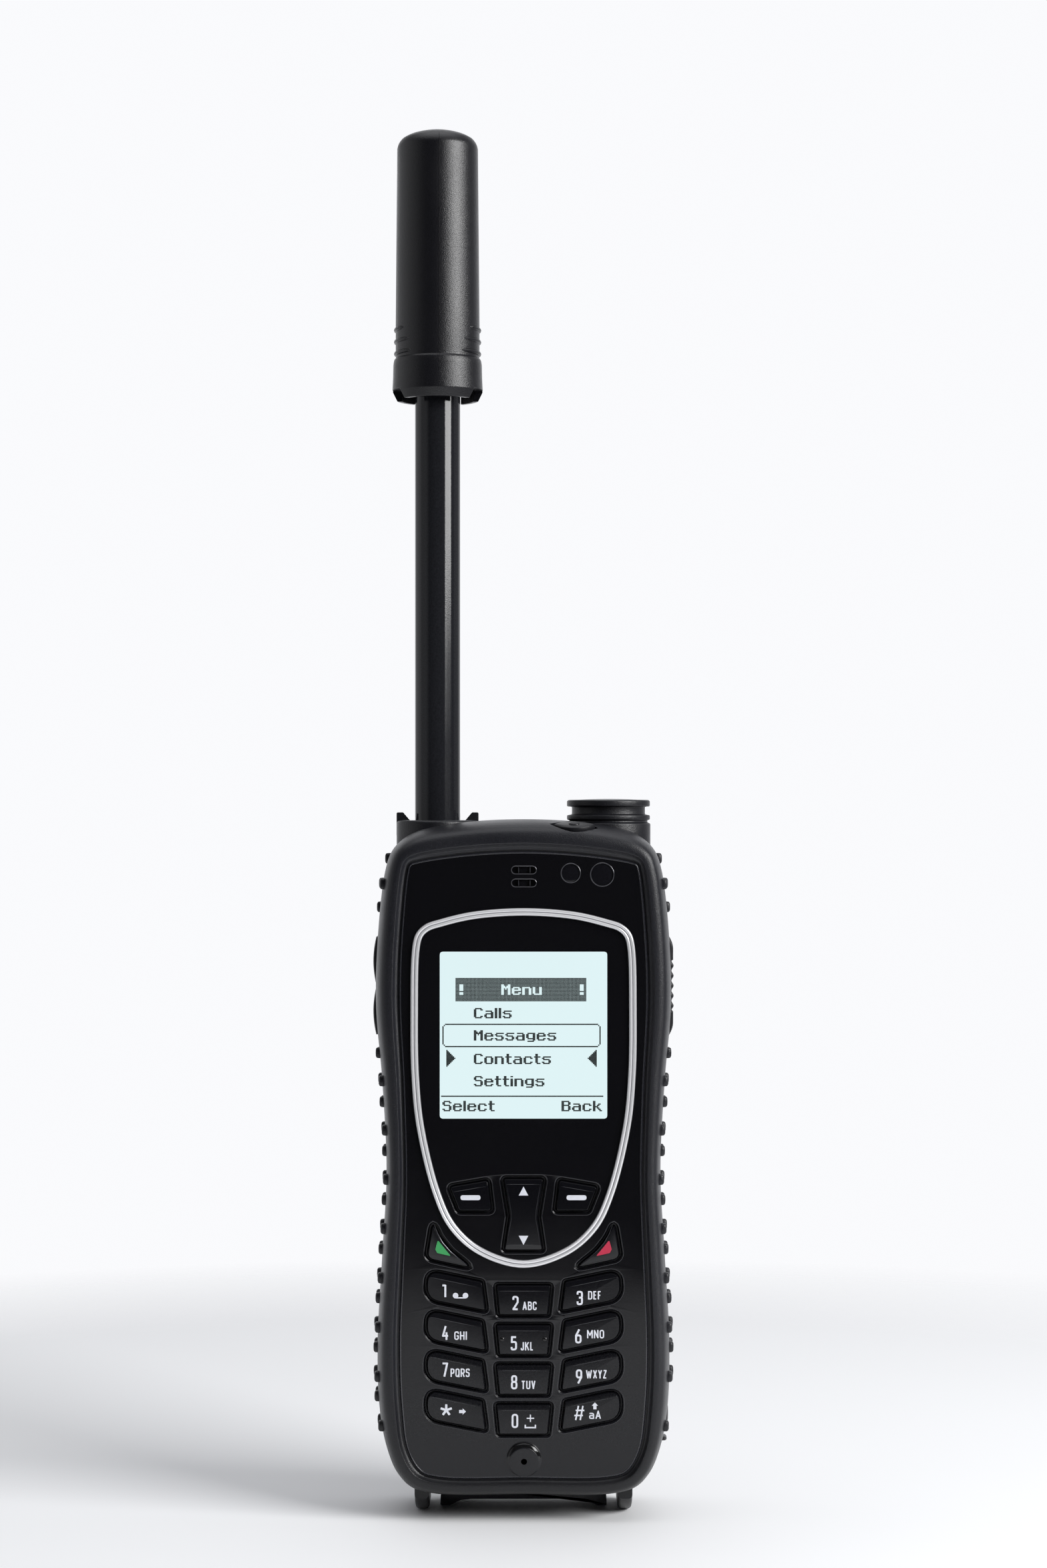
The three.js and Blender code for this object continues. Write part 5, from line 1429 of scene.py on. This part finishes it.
# ------------------------------------------------------------------ battery and latch
bm = bmesh.new()
SHELL_PROFILE = [(0.0, 5.9), (0.0, 13.1), (-0.08, 13.45), (-0.3, 13.7), (-0.65, 13.8)]
skin(bm, [at_depth(battery_line(d), y) for d, y in SHELL_PROFILE])
shell = put("battery_case", bm, "casing", "battery", ["battery_shell"])
carve_blocks(shell, ((-8.1, 0, 13.5), (22.1, 12.7, 94.8)))
bm = bmesh.new()
thumb_rest = [rectangle(2 - d, 12 + d, 14.6 - d, 17.6 + d, 1.4 + d) for d in (0, 0.5)]
skin(bm, [at_depth(line, y) for line, y in zip(thumb_rest, (13.2, 15))])
carve(shell, bm)
GROOVE_PITCH, GROOVE_WIDTH, LOWEST_GROOVE = 2.4, 0.8, 20
bm = bmesh.new()
for z in [LOWEST_GROOVE + GROOVE_PITCH * k for k in range(7)]:
    prism(bm, rectangle(-4, 18, z, z + GROOVE_WIDTH, 0.38), 13.5, 15)
carve(shell, bm)

bm = bmesh.new()
sweep(bm, rectangle(*LATCH_X, *LATCH_Z, 0.8), [(0.0, 10.3), (0.0, 12.6), (-0.12, 13.0), (-0.45, 13.2)])
latch = put("latch", bm, "keys", "battery_latch", ["battery_latch"])
bm = bmesh.new()
for z in [sum(LATCH_Z) / 2 + dz for dz in (-1.6, 0, 1.6)]:
    prism(bm, rectangle(LATCH_X[0] + 2, LATCH_X[1] - 2, z - 0.35, z + 0.35, 0.3), 12.8, 14)
carve(latch, bm)

# ------------------------------------------------------------------ CAD pieces that stay, in new materials
CARRIED = {
    "lcd_module": "steel", "keypad_mat": "mat", "casing_seal": "silicone", "main_board": "board",
    "rf_shield": "steel", "sim_card": "gold", "battery_cell": "cell", "earpiece": "steel",
    "microphone": "steel", "loudspeaker": "steel", "vibration_motor": "steel", "data_connector": "steel",
    "mast_guide": "steel", "audio_jack": "gold", "battery_contacts": "gold", "gps_patch": "ceramic",
    "antenna_element": "ceramic",
}
for name, look in CARRIED.items():
    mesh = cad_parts[name].data
    mesh.materials.clear()
    mesh.materials.append(MATERIALS[look])


# ------------------------------------------------------------------ floor, light and camera
def area_light(name, place, aim, size, power):
    light = bpy.data.lights.new(name, "AREA")
    light.shape = "RECTANGLE"
    light.size, light.size_y = size
    light.energy = power
    made = bpy.data.objects.new(name, light)
    made.location = place
    made.visible_camera = False
    made.rotation_euler = (Vector(aim) - Vector(place)).to_track_quat("-Z", "Y").to_euler()
    bpy.context.scene.collection.objects.link(made)


def make_floor():
    """A pale table top round the object, whose edges fade away into the pale surroundings."""
    bm = bmesh.new()
    corners = [(-420, -380), (420, -380), (420, 420), (-420, 420)]
    bm.faces.new([bm.verts.new((x, y, 0)) for x, y in corners])
    made = mesh_object("floor", bm)
    look, tree, shader, coords = start_material("pale_floor", 0.75, 0.0, 0.15)
    cloud = ramp(tree, noise(tree, coords, 8.0, 2.0), 0.0, 1.0)
    tone = mix_colour(tree, cloud, (0.945, 0.95, 0.96), (0.955, 0.96, 0.97))
    reach = node(tree, "ShaderNodeVectorMath", operation="LENGTH", Vector=coords).outputs["Value"]
    feed(tree, shader, Base_Color=tone, Alpha=ramp(tree, reach, 1.0, 0.0, 0.25, 0.37))
    made.data.materials.append(look)


WORLD_FRONT = 0.025
# Parts of the surroundings that shine: axis of the direction, where it starts and is full, strength
WORLD_GLOWS = [
    ("X", -0.66, -0.86, 0.40), ("Y", 0.0, 0.1, 0.18), ("Y", 0.6, 0.95, 0.8), ("Z", 0.78, 0.93, 1.3),
]


def make_world():
    """Pale all round for the camera; what lights the object is dark in front, bright behind and above."""
    world = bpy.data.worlds.new("studio")
    bpy.context.scene.world = world
    world.use_nodes = True
    tree = world.node_tree
    tree.nodes.clear()
    split = split_axes(tree, node(tree, "ShaderNodeTexCoord").outputs["Generated"])
    total = node(tree, "ShaderNodeValue").outputs[0]
    total.default_value = WORLD_FRONT
    for axis, start, end, strength in WORLD_GLOWS:
        low, high = (0.0, strength) if start < end else (strength, 0.0)
        part = ramp(tree, split[axis], low, high, min(start, end), max(start, end))
        add = node(tree, "ShaderNodeMath", operation="ADD")
        tree.links.new(part, add.inputs[0])
        tree.links.new(total, add.inputs[1])
        total = add.outputs[0]
    seen = node(tree, "ShaderNodeBackground", Color=(0.955, 0.96, 0.98, 1.0))
    cast = node(tree, "ShaderNodeBackground", Color=(0.96, 0.97, 1.0, 1.0), Strength=total)
    path = node(tree, "ShaderNodeLightPath")
    both = node(tree, "ShaderNodeMixShader")
    tree.links.new(path.outputs["Is Camera Ray"], both.inputs[0])
    tree.links.new(cast.outputs[0], both.inputs[1])
    tree.links.new(seen.outputs[0], both.inputs[2])
    out = node(tree, "ShaderNodeOutputWorld")
    tree.links.new(both.outputs[0], out.inputs[0])


make_floor()
make_world()
area_light("softbox", (0.755, -0.50, 0.53), (0, 0, 0.14), (0.60, 0.48), 11.1)

camera_data = bpy.data.cameras.new("camera")
camera = bpy.data.objects.new("camera", camera_data)
camera.location = (0.0, -0.650, 0.139)
camera.rotation_euler = (math.pi / 2, 0, 0)
camera_data.lens = 74.2
camera_data.sensor_width = 36.0
camera_data.shift_y = 0.0215
camera_data.clip_start, camera_data.clip_end = 0.01, 20.0
bpy.context.scene.collection.objects.link(camera)
bpy.context.scene.camera = camera
bpy.context.scene.view_settings.view_transform = "Standard"
